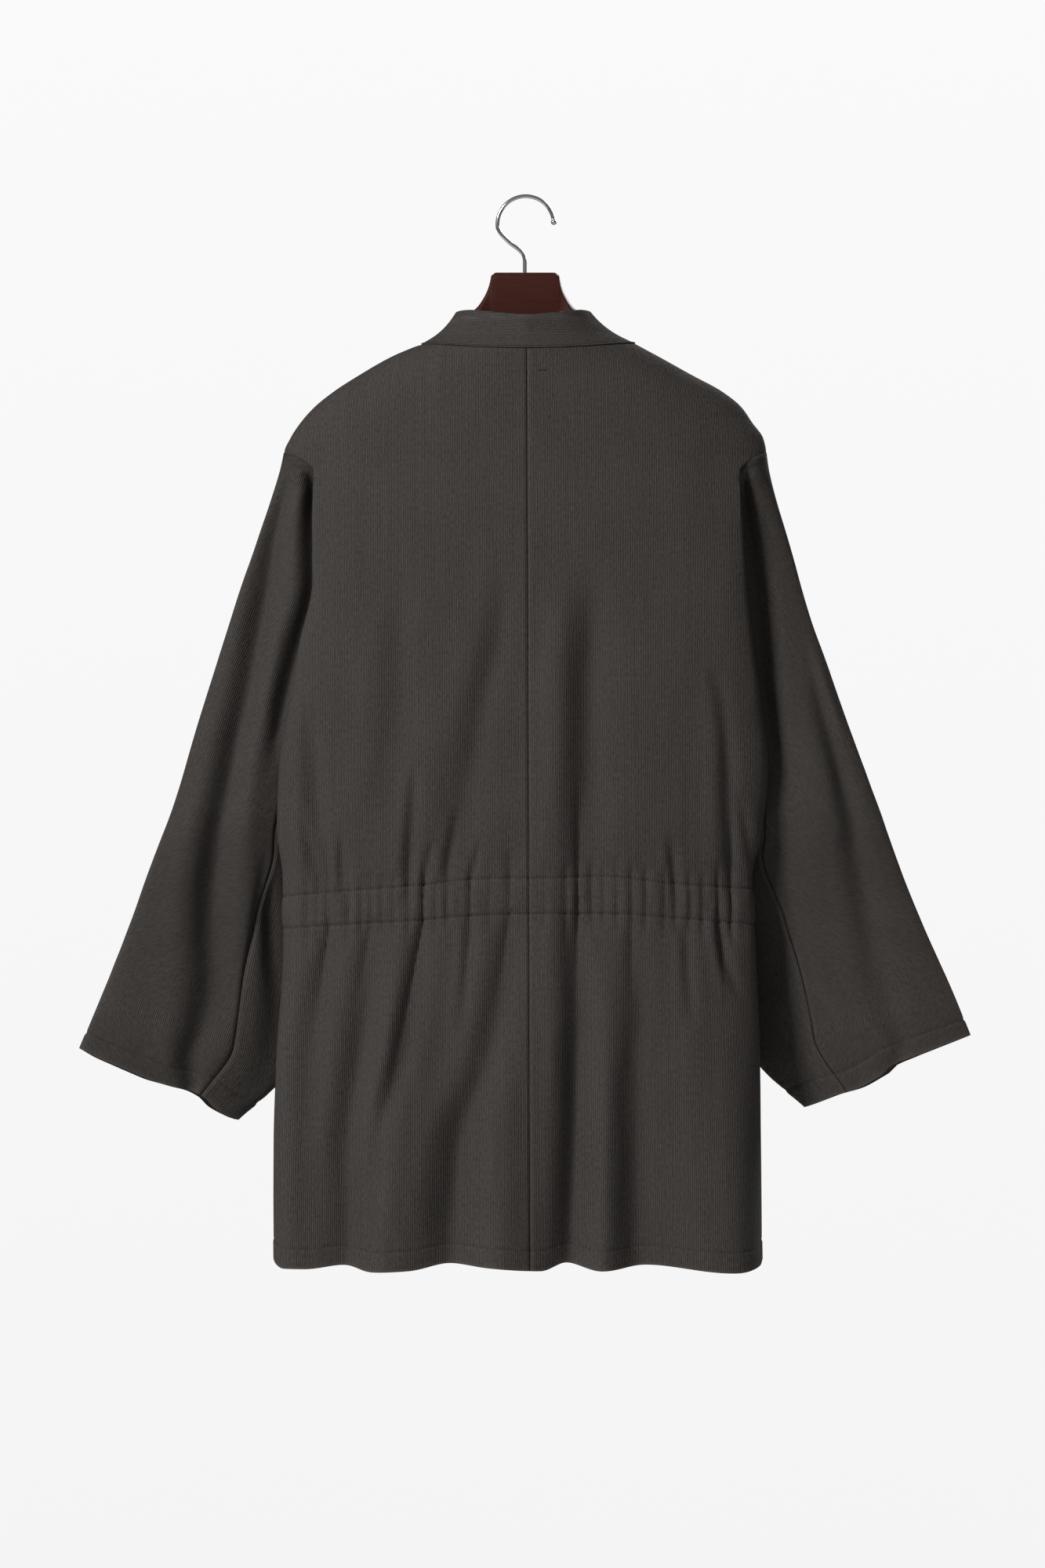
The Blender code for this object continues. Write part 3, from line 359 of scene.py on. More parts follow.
def side_turn(half_width, drop, fold, tuck=0.0, steps=40):
    """The stretch of a section that turns in from the side fold to the seam, as if on the +X, +Y side."""
    sweep = math.radians(turn_sweep(drop))
    reach = (fold - turn_edge(drop)) / math.sin(sweep)
    inset = (turn_inset(drop) - tuck) / (1 - math.cos(sweep))
    angle = np.linspace(0.0, sweep, steps)
    return half_width - inset * (1 - np.cos(angle)), fold - reach * np.sin(angle)


def back_line(side, drop, steps=200):
    """Half of the back's level section, from the centre seam out to the side edge."""
    wide = body_width[side](drop)
    share = 1 - (1 - np.linspace(0.0, 1.0, steps)) ** 2
    across = centre_seam(drop)
    x = across + (side * wide - across) * share
    y = -arc_height(x, wide, back_depth(drop), drop)
    if drop > ARM_TOP:
        turn_x, turn_y = side_turn(wide, drop, -y[-1])
        x = np.concatenate([x, side * turn_x[1:]])
        y = np.concatenate([y, -turn_y[1:]])
    return x, y


def section_grid(line, drops, shares):
    """Level sections as a grid of points, and how far along its section each point lies."""
    points = []
    runs = []
    for drop in drops:
        x, y = line(drop)
        run = np.concatenate([[0.0], np.cumsum(np.hypot(np.diff(x), np.diff(y)))])
        places = shares * run[-1]
        level = np.full(len(shares), -drop)
        points.append(np.stack([np.interp(places, run, x), np.interp(places, run, y), level], axis=1))
        runs.append(places)
    return np.array(points), np.array(runs)


def outward(grid, facing, at=0.5):
    """The way out of the cloth at each point of a grid, which faces a given way at a share of its rows."""
    normal = np.cross(np.gradient(grid, axis=1), np.gradient(grid, axis=0))
    normal /= np.maximum(np.linalg.norm(normal, axis=2, keepdims=True), 1e-9)
    sample = normal[len(grid) // 2, int(at * (grid.shape[1] - 1))]
    return normal if sample @ np.array(facing, float) > 0 else -normal


def unevenness(across, down, cell_across, cell_down, seed):
    """Soft random swellings between -1 and 1, the same at each run."""
    heights = np.random.RandomState(seed).uniform(-1.0, 1.0, (CELLS, CELLS))
    a = (across / cell_across) % (CELLS - 1)
    b = (down / cell_down) % (CELLS - 1)
    i = a.astype(int)
    j = b.astype(int)
    s = (a - i) ** 2 * (3 - 2 * (a - i))
    t = (b - j) ** 2 * (3 - 2 * (b - j))
    upper = heights[i, j] * (1 - s) + heights[i + 1, j] * s
    lower = heights[i, j + 1] * (1 - s) + heights[i + 1, j + 1] * s
    return upper * (1 - t) + lower * t


def trough(place, centre, wide, way=1.0):
    """A fold's section: a trough with a low crest on one side of it."""
    return bell(place, centre, wide) - 0.5 * bell(place, centre - way * 1.8 * wide, 1.1 * wide)


def fold_relief(folds, x, drop):
    """Long soft folds, each fading in and out along its way."""
    relief = np.zeros_like(x)
    for fold in folds:
        drops = [d for _, d in fold.way]
        t = np.clip((drop - drops[0]) / (drops[-1] - drops[0]), 0.0, 1.0)
        centre = course(drops, [p for p, _ in fold.way])(drop)
        wide = fold.wide * (0.85 + 0.4 * t)
        relief += fold.out * np.sin(math.pi * t) ** 0.7 * trough(x, centre, wide)
    return relief


def gather_relief(x, drop):
    """The puckers between and beside the casing's stitched rows."""
    relief = np.zeros_like(x)
    upper = casing_upper(x)
    lower = casing_lower(x)
    above = np.maximum(upper - drop, 0.0)
    below = np.maximum(drop - lower, 0.0)
    for gather in GATHERS:
        past = np.clip(above / gather.up + below / gather.down, 0.0, 1.0)
        place = gather.place + gather.lean * below
        width = GATHER_WIDTH + (LONG_GATHER_WIDTH - GATHER_WIDTH) * past
        crease = 0.65 * bell(x, place, width) + 0.45 * bell(x, place, 0.38 * width)
        relief -= gather.depth * (1 - past * past) ** 1.5 * crease
    return relief


def casing_relief(x, drop):
    """The casing: a puff between two rows of stitching that pull the cloth in."""
    upper = casing_upper(x)
    lower = casing_lower(x)
    middle = (upper + lower) / 2
    puff = 1.5 * (1 - np.clip(np.abs(drop - middle) / (lower - middle), 0.0, 1.0) ** 2.5)
    pulled = bell(drop, upper, 1.5) + bell(drop, lower, 1.5)
    small = unevenness(x + SHIFT, drop, 5.2, 26.0, 5) * bell(drop, middle, 26.0)
    return puff - 1.1 * pulled + 0.8 * small


def hem_relief(place, drop, row, cell=6.5, wide=9.0, seed=9):
    """A turned hem: a stitched row, the doubled cloth under it and small puckers along the row."""
    pucker = unevenness(place, drop, cell, 40.0, seed) * bell(drop, row, wide)
    return 0.5 * ease(drop, row, row + 2.0) - 0.6 * bell(drop, row, 1.3) + 0.35 * pucker


def back_relief(x, drop, run):
    """All that stands out from the back's plain section."""
    skirt = ease(drop, WAVES_START, HEM_DROP) * back_wave(x)
    chest = 3.5 * bell(x, 30.0, 26.0) - 4.0 * bell(x, 58.0, 18.0)
    chest = chest * ease(drop, 330.0, 520.0) * (1 - ease(drop, 640.0, 720.0))
    place = x + SHIFT
    soft = 0.7 * unevenness(place, drop, 34.0, 110.0, 3) + 0.25 * unevenness(place, drop, 9.0, 34.0, 4)
    folds = skirt + chest + gather_relief(x, drop) + fold_relief(BACK_FOLDS, x, drop) + soft
    near_side = run / run[:, -1:]
    folds = folds * (1 - ease(near_side, 0.9, 1.0)) * ease(drop, 300.0, 420.0)
    shoulder = 0.5 * unevenness(place, drop, 30.0, 60.0, 6) * ease(drop, 150.0, 220.0)
    shoulder = shoulder * (1 - ease(near_side, 0.8, 1.0))
    seam = -1.7 * bell(run, 0.0, 1.1) + 0.25 * bell(run, 4.5, 3.0)
    seam += 0.25 * unevenness(place, drop, 12.0, 9.0, 8) * bell(run, 3.0, 5.0)
    casing = casing_relief(x, drop) * (1 - ease(near_side, 0.93, 1.0))
    return folds + shoulder + seam + casing + hem_relief(place, drop, HEM_ROW)


def shade(colour, share):
    """A colour made darker or lighter."""
    return (*[share * c for c in colour], 1.0)


def cloth_finish(name, colour):
    """Ribbed crinkled cotton: its ribs run along the second UV way, and the UVs are in metres."""
    material, tree, shader = new_material(name, 0.92)
    place = node(tree, "UVMap", uv_map="weave").outputs[0]
    across = node(tree, "SeparateXYZ", place).outputs["X"]

    def cloudy(stretch, scale, detail):
        laid = node(tree, "Mapping", place, (0.0, 0.0, 0.0), (0.0, 0.0, 0.0), (1.0, stretch, 1.0)).outputs[0]
        return node(tree, "TexNoise", laid, None, scale, detail, 0.55).outputs[0]

    def calculate(operation, *values):
        return node(tree, "Math", *values, operation=operation).outputs[0]

    wobble = calculate("MULTIPLY", calculate("SUBTRACT", cloudy(0.12, 170.0, 2.0), 0.5), 1.3 * MM)
    phase = calculate("MULTIPLY", calculate("ADD", across, wobble), 2 * math.pi / (RIB_PITCH * MM))
    rib = calculate("MULTIPLY_ADD", calculate("SINE", phase), 0.5, 0.5)
    crinkle = cloudy(0.45, 560.0, 4.0)
    streak = cloudy(0.02, 210.0, 3.0)
    patch = cloudy(0.5, 30.0, 3.0)
    # Painted shade in the ribs' and crinkles' hollows, mixed with random streaks and patches of tone.
    crisp = calculate("MULTIPLY", rib, calculate("ADD", crinkle, 0.5))
    tone = calculate("MULTIPLY_ADD", crisp, 0.55, -0.34)
    for cloud, strength in ((crinkle, 0.8), (streak, 0.18), (patch, 0.18)):
        tone = calculate("ADD", tone, calculate("MULTIPLY", cloud, strength))
    woven_tone_and_hollow_shade = blend_colour(tree, tone, shade(colour, 0.35), shade(colour, 1.7))
    rub = node(tree, "Attribute", attribute_name="rub").outputs["Fac"]
    worn = blend_colour(tree, calculate("MULTIPLY", rub, 0.35), woven_tone_and_hollow_shade, shade(colour, 2.1))
    tree.links.new(worn, shader.inputs["Base Color"])
    height = calculate("ADD", crisp, calculate("MULTIPLY", crinkle, 0.5))
    bump = node(tree, "Bump", 1.0, 0.3 * MM)
    tree.links.new(height, bump.inputs["Height"])
    tree.links.new(bump.outputs[0], shader.inputs["Normal"])
    shader.inputs["Specular IOR Level"].default_value = 0.12
    return material


def sew(name, outer, inner, weave, material, rub=None):
    """A piece of cloth from the grids of its two faces, closed round its edges, with its weave's UVs."""
    rows, columns, _ = outer.shape
    count = rows * columns
    index = np.arange(count).reshape(rows, columns)
    a = index[:-1, :-1].ravel()
    b = index[:-1, 1:].ravel()
    c = index[1:, 1:].ravel()
    d = index[1:, :-1].ravel()
    faces = [np.stack([a, b, c, d], axis=1), np.stack([a, d, c, b], axis=1) + count]
    for line in (index[0], index[-1][::-1], index[:, 0][::-1], index[:, -1]):
        faces.append(np.stack([line[1:], line[:-1], line[:-1] + count, line[1:] + count], axis=1))
    faces = np.concatenate(faces)
    middle = (rows // 2, columns // 2)
    over = outer[middle[0], middle[1] + 1] - outer[middle]
    down = outer[middle[0] + 1, middle[1]] - outer[middle]
    if np.cross(over, down) @ (outer[middle] - inner[middle]) < 0:
        faces = faces[:, ::-1]
    mesh = bpy.data.meshes.new(name)
    points = np.concatenate([outer.reshape(-1, 3), inner.reshape(-1, 3)]) * MM
    mesh.vertices.add(len(points))
    mesh.vertices.foreach_set("co", points.ravel())
    mesh.loops.add(faces.size)
    mesh.loops.foreach_set("vertex_index", faces.ravel())
    mesh.polygons.add(len(faces))
    mesh.polygons.foreach_set("loop_start", np.arange(0, faces.size, 4))
    mesh.update(calc_edges=True)
    mesh.uv_layers.new(name="weave")
    mesh.uv_layers["weave"].data.foreach_set("uv", (weave.reshape(-1, 2)[faces.ravel() % count] * MM).ravel())
    mesh.attributes.new("rub", "FLOAT", "POINT")
    worn = np.zeros((rows, columns)) if rub is None else np.clip(rub, 0.0, 1.0)
    mesh.attributes["rub"].data.foreach_set("value", np.tile(worn.ravel(), 2))
    mesh.materials.append(material)
    mesh.shade_smooth()
    mesh.set_sharp_from_angle(angle=math.radians(65))
    return add_object(name, mesh)


def on_grid(grid, rows_at, columns_at):
    """What a grid holds at fractions of its rows and columns."""
    r = np.clip(rows_at, 0, grid.shape[0] - 1.001)
    c = np.clip(columns_at, 0, grid.shape[1] - 1.001)
    i = r.astype(int)
    j = c.astype(int)
    s = (r - i)[:, None]
    t = (c - j)[:, None]
    upper = grid[i, j] * (1 - t) + grid[i, j + 1] * t
    lower = grid[i + 1, j] * (1 - t) + grid[i + 1, j + 1] * t
    return upper * (1 - s) + lower * s


def row_of(drops, drop):
    """Where a drop lies among a grid's rows, as a fraction."""
    return np.interp(drop, drops, np.arange(len(drops)))


def row_run(outer, way_out, drops, drop):
    """The points of a cloth's outer face at a drop, or at a drop for each column, and the ways out."""
    columns = np.arange(outer.shape[1], dtype=float)
    rows_at = np.zeros(len(columns)) + row_of(drops, drop)
    return on_grid(outer, rows_at, columns), on_grid(way_out, rows_at, columns)


def two_faces(grid, way_out, drop, row):
    """A cloth's outer and inner faces, doubled inwards under its hem's row of stitches."""
    doubled = HEM_DOUBLED * ease(drop, row, row + 1.5)[..., None]
    return grid + way_out * CLOTH / 2, grid - way_out * (CLOTH / 2 + doubled)


def run_along(points):
    """How far along a line each of its points lies."""
    return np.concatenate([[0.0], np.cumsum(np.linalg.norm(np.diff(points, axis=0), axis=1))])


def run_across(grid):
    """How far along its row each point of a grid lies."""
    run = np.cumsum(np.linalg.norm(np.diff(grid, axis=1), axis=2), axis=1)
    return np.concatenate([np.zeros((len(grid), 1)), run], axis=1)


THREAD, thread_tree, thread_shader = new_material("sewing_thread", 0.7)
twist = node(thread_tree, "TexNoise", None, None, 2500.0, 2.0).outputs[0]
thread_tone = blend_colour(thread_tree, twist, shade(THREAD_COLOUR, 0.6), shade(THREAD_COLOUR, 1.5))
thread_tree.links.new(thread_tone, thread_shader.inputs["Base Color"])

STITCH_LONG = 2.5
STITCH_PITCH = 3.1
STITCH_HALF = 0.25


def stitches(name, runs, long=STITCH_LONG, pitch=STITCH_PITCH):
    """Stitches along several runs on the cloth. A run is its points and the ways out of the cloth there."""
    vertices = []
    faces = []
    for points, outs in runs:
        run = run_along(points)

        def at(values, place):
            return np.stack([np.interp(place, run, values[:, k]) for k in range(3)], axis=1)

        starts = np.arange(0.2, run[-1] - long, pitch)
        if len(starts) == 0:
            starts = np.array([0.0])
        out = at(outs, starts + long / 2)
        first = at(points, starts)
        last = at(points, starts + long)
        along = last - first
        side = np.cross(along, out)
        side /= np.maximum(np.linalg.norm(side, axis=1, keepdims=True), 1e-9)
        rings = []
        for share in (0.22, 0.78):
            centre = at(points, starts + long * share) + out * 0.12
            rings += [centre + way * STITCH_HALF for way in (out, side, -out, -side)]
        block = np.stack([first - out * 0.15, *rings, last - out * 0.15], axis=1)
        for k in range(len(starts)):
            base = len(vertices)
            vertices.extend((block[k] * MM).tolist())
            for q in range(4):
                n = (q + 1) % 4
                faces.append((base, base + 1 + n, base + 1 + q))
                faces.append((base + 1 + q, base + 1 + n, base + 5 + n, base + 5 + q))
                faces.append((base + 5 + q, base + 5 + n, base + 9))
    mesh = bpy.data.meshes.new(name)
    mesh.from_pydata(vertices, [], faces)
    mesh.materials.append(THREAD)
    mesh.shade_smooth()
    piece = add_object(name, mesh)
    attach(piece, "root")
    return piece


def spread(start, end, step):
    """Drops from start to end at about one step."""
    return np.linspace(start, end, max(int(round((end - start) / step)), 1), endpoint=False)


back_drops = np.concatenate([
    spread(134.9, 233.9, 3.0), [233.9], spread(234.6, 256.0, 1.1), spread(256.0, 596.0, 3.6),
    spread(596.0, 690.0, 1.1), spread(690.0, 955.0, 3.6), spread(955.0, 978.0, 1.2), [978.0],
])
back_shares = np.concatenate([
    np.linspace(0.0, 0.02, 5, endpoint=False), np.linspace(0.02, 0.93, 112, endpoint=False),
    np.linspace(0.93, 1.0, 14),
])
back_cloth = cloth_finish("ribbed_cotton_back", BACK_COLOUR)
backs = {}
back_faces = {}
for side, name in ((-1, "back_left"), (1, "back_right")):
    plain, run = section_grid(lambda drop: back_line(side, drop), back_drops, back_shares)
    x = plain[..., 0]
    drop = -plain[..., 2]
    way_out = outward(plain, (0, -1, 0))
    way_out[:, 0, 0] = 0.0
    grid = plain + way_out * back_relief(x, drop, run)[..., None]
    grid[:, 0, 0] = plain[:, 0, 0]
    dip = BACK_NECK_DIP * (1 - (x / 100.0) ** 2).clip(0.0) * (1 - ease(drop, NECK_DROP, 180.0))
    grid[..., 2] -= dip + back_hem(x) * ease(drop, 860.0, HEM_DROP)
    way_out = outward(grid, (0, -1, 0))
    way_out[:, 0, 0] = 0.0
    outer, inner = two_faces(grid, way_out, drop, HEM_ROW)
    rub = bell(drop, HEM_DROP, 2.0) + 0.1 * bell(run, 2.6, 1.0)
    weave = np.stack([side * run, -drop], axis=2)
    backs[side] = sew(name + "_cloth", outer, inner, weave, back_cloth, rub)
    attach(backs[side], "root")
    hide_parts(name)
    back_faces[side] = (outer, way_out)

casing_runs = []
hem_runs = []
for side, (outer, way_out) in back_faces.items():
    x = row_run(outer, way_out, back_drops, CASING_LEVEL)[0][:, 0]
    for row_drop in (casing_upper(x), casing_lower(x)):
        casing_runs.append(row_run(outer, way_out, back_drops, row_drop))
    hem_runs.append(row_run(outer, way_out, back_drops, HEM_ROW))
casing_thread = stitches("casing_stitches", casing_runs)
back_hem_thread = stitches("back_hem_stitches", hem_runs)

# Under the neck a short row of stitches and a bar tack show through from what is sewn on inside.
TAB_DROP = 159.8
TAB_ROW = (-15.8, 0.4)
TAB_TACK = (11.5, 19.5)
TACK_STEP = 0.55


def back_places(start, end, count=30):
    """Points of the back's outer face between two places across and down, and the ways out there."""
    share = np.linspace(0.0, 1.0, count)
    across = start[0] + (end[0] - start[0]) * share
    drops = start[1] + (end[1] - start[1]) * share
    points = []
    outs = []
    for x, drop in zip(across, drops):
        outer, way_out = back_faces[-1 if x < centre_seam(drop) else 1]
        row = row_of(back_drops, drop)
        level = row_run(outer, way_out, back_drops, drop)[0]
        at = np.interp(abs(x), np.maximum.accumulate(np.abs(level[:, 0])), np.arange(outer.shape[1]))
        points.append(on_grid(outer, np.array([row]), np.array([at]))[0])
        outs.append(on_grid(way_out, np.array([row]), np.array([at]))[0])
    return np.array(points), np.array(outs)


tab_thread = stitches("tab_stitches", [back_places((TAB_ROW[0], TAB_DROP), (TAB_ROW[1], TAB_DROP))])
tack_runs = []
for step in np.arange(TAB_TACK[0], TAB_TACK[1], TACK_STEP):
    tack_runs.append(back_places((step, TAB_DROP - 2.2), (step + 0.3, TAB_DROP - 0.2), 4))
tab_tack = stitches("tab_tack", tack_runs, long=1.9)

# The two front panels: the same cotton, cut with a slanting neck edge. The wearer's left one lies over the
# right one. This side is hidden from the camera, so its folds are like the back's but plainer.
LAYER_STEP = 6.0
FRONT_COLOUR = BACK_COLOUR

Tuck = namedtuple("Tuck", "drop inward")
FRONT_TUCK = table(Tuck, [
    (520.0, 0.0), (575.0, 4.0), (780.0, 4.0), (900.0, 0.0),
])

Neckline = namedtuple("Neckline", "drop across")
NECKLINE = table(Neckline, [
    (134.6, -96.5), (150.0, -84.0), (175.0, -71.0), (210.0, -54.0), (260.0, -29.0), (320.0, 1.0),
    (380.0, 31.0), (430.0, 56.0), (475.0, 73.0), (520.0, 79.5), (580.0, 80.0), (978.0, 80.0),
])

FRONT_WAVES = table(Wave, [
    (-229.0, 0.0), (-195.0, 7.0), (-140.0, -7.0), (-60.0, 5.0), (0.0, -4.0), (60.0, 5.0),
    (140.0, -7.0), (190.0, 7.0), (216.0, 0.0),
])

FRONT_FOLDS = [
    Fold([(-150, 260), (-138, 420), (-120, 560)], 18.0, -4.0),
    Fold([(-110, 300), (-98, 460), (-90, 640)], 20.0, 2.5),
    Fold([(150, 270), (142, 420), (128, 590)], 17.0, -3.8),
    Fold([(110, 340), (113, 500), (116, 660)], 20.0, 2.4),
    Fold([(-190, 450), (-184, 560), (-176, 670)], 9.0, -4.0),
    Fold([(186, 460), (182, 560), (176, 660)], 9.0, -4.0),
    Fold([(-150, 640), (-158, 760), (-166, 1020)], 11.0, -5.0),
    Fold([(-86, 620), (-92, 740), (-98, 1000)], 12.0, -4.0),
    Fold([(-22, 560), (-16, 700), (-12, 1000)], 14.0, 3.0),
    Fold([(30, 640), (34, 760), (40, 1040)], 10.0, -4.0),
    Fold([(150, 650), (156, 760), (160, 1040)], 11.0, -5.0),
]

front_tuck = column(FRONT_TUCK, "inward")
neckline_across = column(NECKLINE, "across")
front_wave = column(FRONT_WAVES, "out", "place")


def layer_depth(side, drop):
    """The wearer's left front lies over the right one, from where their bands cross."""
    return front_depth(drop) - (LAYER_STEP * ease(drop, 175.0, 245.0) if side > 0 else 0.0)


def front_reach(side, across, drop):
    """How far forward a front stands at a place across the body."""
    wide = body_width[side](drop) - front_tuck(drop)
    return arc_height(across, wide, layer_depth(side, drop), drop)


def neck_across(side, drop):
    """Where the seam between a front and its band lies. The table is the left front's."""
    return -side * neckline_across(drop) if side > 0 else neckline_across(drop)


def front_line(side, drop, steps=260):
    """A front's level section, from its side edge to the neckband."""
    wide = body_width[side](drop) - front_tuck(drop)
    last = side * (neck_across(side, drop) + side * GAP / 2) / wide
    share = 1 - (1 - last) * np.linspace(0.0, 1.0, steps) ** 2
    x = side * wide * share
    y = front_reach(side, x, drop)
    if drop > ARM_TOP:
        turn_x, turn_y = side_turn(wide, drop, y[0], front_tuck(drop))
        x = np.concatenate([side * turn_x[:0:-1], x])
        y = np.concatenate([turn_y[:0:-1], y])
    return x, y


def front_relief(x, drop, run):
    """All that stands out from a front's plain section."""
    near_side = run / run[:, -1:]
    skirt = ease(drop, WAVES_START, HEM_DROP) * front_wave(x) * ease(near_side, 0.0, 0.12)
    place = x + SHIFT
    soft = 0.6 * unevenness(place, drop, 32.0, 100.0, 13) + 0.2 * unevenness(place, drop, 9.0, 30.0, 14)
    folds = fold_relief(FRONT_FOLDS, x, drop) + soft
    at_band = 1 - ease(near_side, 0.9, 1.0)
    folds = folds * ease(near_side, 0.03, 0.14) * at_band * ease(drop, 240.0, 320.0)
    return skirt + folds + hem_relief(place, drop, HEM_ROW)


front_drops = np.concatenate([
    spread(135.8, 233.9, 4.0), [233.9], spread(234.6, 256.0, 1.3), spread(256.0, 955.0, 4.6),
    spread(955.0, 978.0, 1.3), [978.0],
])
front_shares = np.concatenate([np.linspace(0.0, 0.14, 20, endpoint=False), np.linspace(0.14, 1.0, 76)])
front_cloth = cloth_finish("ribbed_cotton_front", FRONT_COLOUR)
fronts = {}
front_hem_runs = []
for side, name in ((-1, "front_left"), (1, "front_right")):
    plain, run = section_grid(lambda drop: front_line(side, drop), front_drops, front_shares)
    x = plain[..., 0]
    drop = -plain[..., 2]
    way_out = outward(plain, (0, 1, 0), 0.6)
    grid = plain + way_out * front_relief(x, drop, run)[..., None]
    way_out = outward(grid, (0, 1, 0), 0.6)
    outer, inner = two_faces(grid, way_out, drop, HEM_ROW)
    crossing = np.array([np.interp(0.0, line_x if line_x[-1] > line_x[0] else -line_x, line_run)
                         for line_x, line_run in zip(x, run)])
    weave = np.stack([run - crossing[:, None], -drop], axis=2)
    fronts[side] = sew(name + "_cloth", outer, inner, weave, front_cloth, bell(drop, HEM_DROP, 2.0))
    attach(fronts[side], "root")
    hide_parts(name)
    front_hem_runs.append(row_run(outer, way_out, front_drops, HEM_ROW))
stitches("front_hem_stitches", front_hem_runs)

# The sleeves: each one piece of the same cotton, folded along its outer side, with its seam on its back.
# They widen to the cuff, whose turned hem is stitched all round, and their ribs run along the outer fold.
LAP = 1.5
TILT_START = 520.0
SLEEVE_TOP = 234.2
CUFF_DEEP = 14.5
SLEEVE_SHIFT = 50.0
SLEEVE_LEAN = math.radians(19.0)
# The sleeves' cotton is painted a little darker than the back's, as shade on the sleeves.
SLEEVE_SHADED_COLOUR = (0.0385, 0.0338, 0.0306)

Outer = namedtuple("Outer", "drop left right thick")
SLEEVE_OUTER = table(Outer, [
    (234.0, 221.2, 221.2, 0.6), (236.0, 221.6, 221.4, 10.6), (240.0, 222.4, 221.9, 17.6),
    (249.8, 224.6, 223.4, 20.0), (268.0, 230.0, 227.6, 13.5), (321.8, 247.7, 243.4, 11.0),
    (379.4, 267.1, 259.9, 10.6), (437.0, 285.8, 280.1, 10.0), (494.6, 303.8, 300.2, 8.5),
    (552.2, 321.1, 321.1, 10.5), (609.8, 342.0, 342.0, 13.0), (667.4, 362.9, 365.0, 15.0),
    (725.0, 385.9, 391.0, 15.5), (781.2, 409.0, 413.6, 14.0),
])

Inner = namedtuple("Inner", "drop left right forward")
SLEEVE_INNER = table(Inner, [
    (502.0, 215.6, 213.4, 0.0), (514.0, 218.5, 216.2, 0.0), (530.0, 220.8, 217.3, 0.5),
    (560.0, 223.4, 216.0, 1.5), (585.0, 225.6, 214.7, 9.0), (610.0, 223.6, 208.8, 19.0),
    (640.0, 221.0, 206.6, 30.0), (690.0, 216.0, 205.0, 46.0), (750.0, 211.0, 203.0, 54.0),
    (800.0, 220.0, 212.0, 57.0), (846.0, 266.4, 260.0, 50.0),
])
SleeveEnd = namedtuple("SleeveEnd", "outer_drop inner_drop")
CUFFS = {-1: SleeveEnd(781.2, 846.0), 1: SleeveEnd(769.0, 834.0)}

SeamLine = namedtuple("SeamLine", "drop share")
SLEEVE_SEAM = table(SeamLine, [
    (502.0, 0.0), (530.0, 0.01), (585.0, 0.06), (640.0, 0.25), (700.0, 0.34), (781.0, 0.26),
])

# The folds along each sleeve: their share of the way from the inner fold to the outer at several drops.
Crease = namedtuple("Crease", "drop share wide out")
SLEEVE_CREASES = {
    -1: [
        table(Crease, [
            (245, 0.84, 0.12, 0.0), (280, 0.84, 0.12, -4.0), (365, 0.72, 0.13, -6.5),
            (451, 0.62, 0.13, -7.5), (538, 0.54, 0.13, -8.0), (624, 0.55, 0.12, -8.5),
            (711, 0.49, 0.1, -7.0), (745, 0.49, 0.08, -6.0), (782, 0.31, 0.07, -4.5),
        ]),
        table(Crease, [
            (246, 0.3, 0.13, 0.0), (280, 0.26, 0.13, -7.0), (365, 0.18, 0.1, -6.5),
            (451, 0.2, 0.1, -5.5), (500, 0.14, 0.08, -2.5), (530, 0.1, 0.08, 0.0),
        ]),
        table(Crease, [
            (250, 0.55, 0.13, 0.0), (330, 0.5, 0.13, 2.5), (455, 0.4, 0.1, 3.0), (563, 0.3, 0.12, 3.5),
            (640, 0.34, 0.1, 3.0), (700, 0.32, 0.1, 1.0),
        ]),
        table(Crease, [
            (590, 0.14, 0.07, 0.0), (640, 0.15, 0.07, -4.0), (720, 0.12, 0.07, -2.0),
            (781, 0.1, 0.07, 0.0),
        ]),
    ],
    1: [
        table(Crease, [
            (440, 0.78, 0.09, 0.0), (487, 0.77, 0.09, -3.0), (538, 0.76, 0.09, -4.5),
            (624, 0.75, 0.08, -4.5), (711, 0.71, 0.07, -3.8), (745, 0.69, 0.06, -3.4),
            (781, 0.52, 0.07, -3.0),
        ]),
        table(Crease, [
            (246, 0.36, 0.15, 0.0), (280, 0.38, 0.15, -8.0), (365, 0.36, 0.18, -8.0),
            (451, 0.22, 0.12, -8.0), (500, 0.14, 0.1, -4.0), (540, 0.1, 0.1, 0.0),
        ]),
        table(Crease, [
            (440, 0.5, 0.14, 0.0), (560, 0.45, 0.14, 3.0), (640, 0.44, 0.12, 2.6),
            (720, 0.42, 0.12, 0.6),
        ]),
        table(Crease, [
            (400, 0.92, 0.06, 0.0), (450, 0.9, 0.06, 1.6), (500, 0.9, 0.06, 0.0),
        ]),
    ],
}

# How much lower than a straight line each cuff's edge hangs, by the share of its way outwards.
CUFF_SAG = {
    -1: table(Low, [
        (0.0, 3.0), (0.05, 4.5), (0.11, 4.0), (0.17, 2.5), (0.235, -3.0), (0.3, -4.0), (0.43, -1.0),
        (0.6, 2.0), (0.87, 2.0), (1.0, 0.0),
    ]),
    1: table(Low, [
        (0.0, 3.0), (0.05, 4.0), (0.19, 4.6), (0.336, 7.0), (0.456, 4.5), (0.49, 3.5), (0.54, -1.0),
        (0.6, -1.5), (0.77, -1.0), (1.0, 0.0),
    ]),
}

sleeve_outer = {-1: column(SLEEVE_OUTER, "left"), 1: column(SLEEVE_OUTER, "right")}
sleeve_thick = column(SLEEVE_OUTER, "thick")
sleeve_inner = {-1: column(SLEEVE_INNER, "left"), 1: column(SLEEVE_INNER, "right")}
sleeve_forward = column(SLEEVE_INNER, "forward")
seam_share = column(SLEEVE_SEAM, "share")


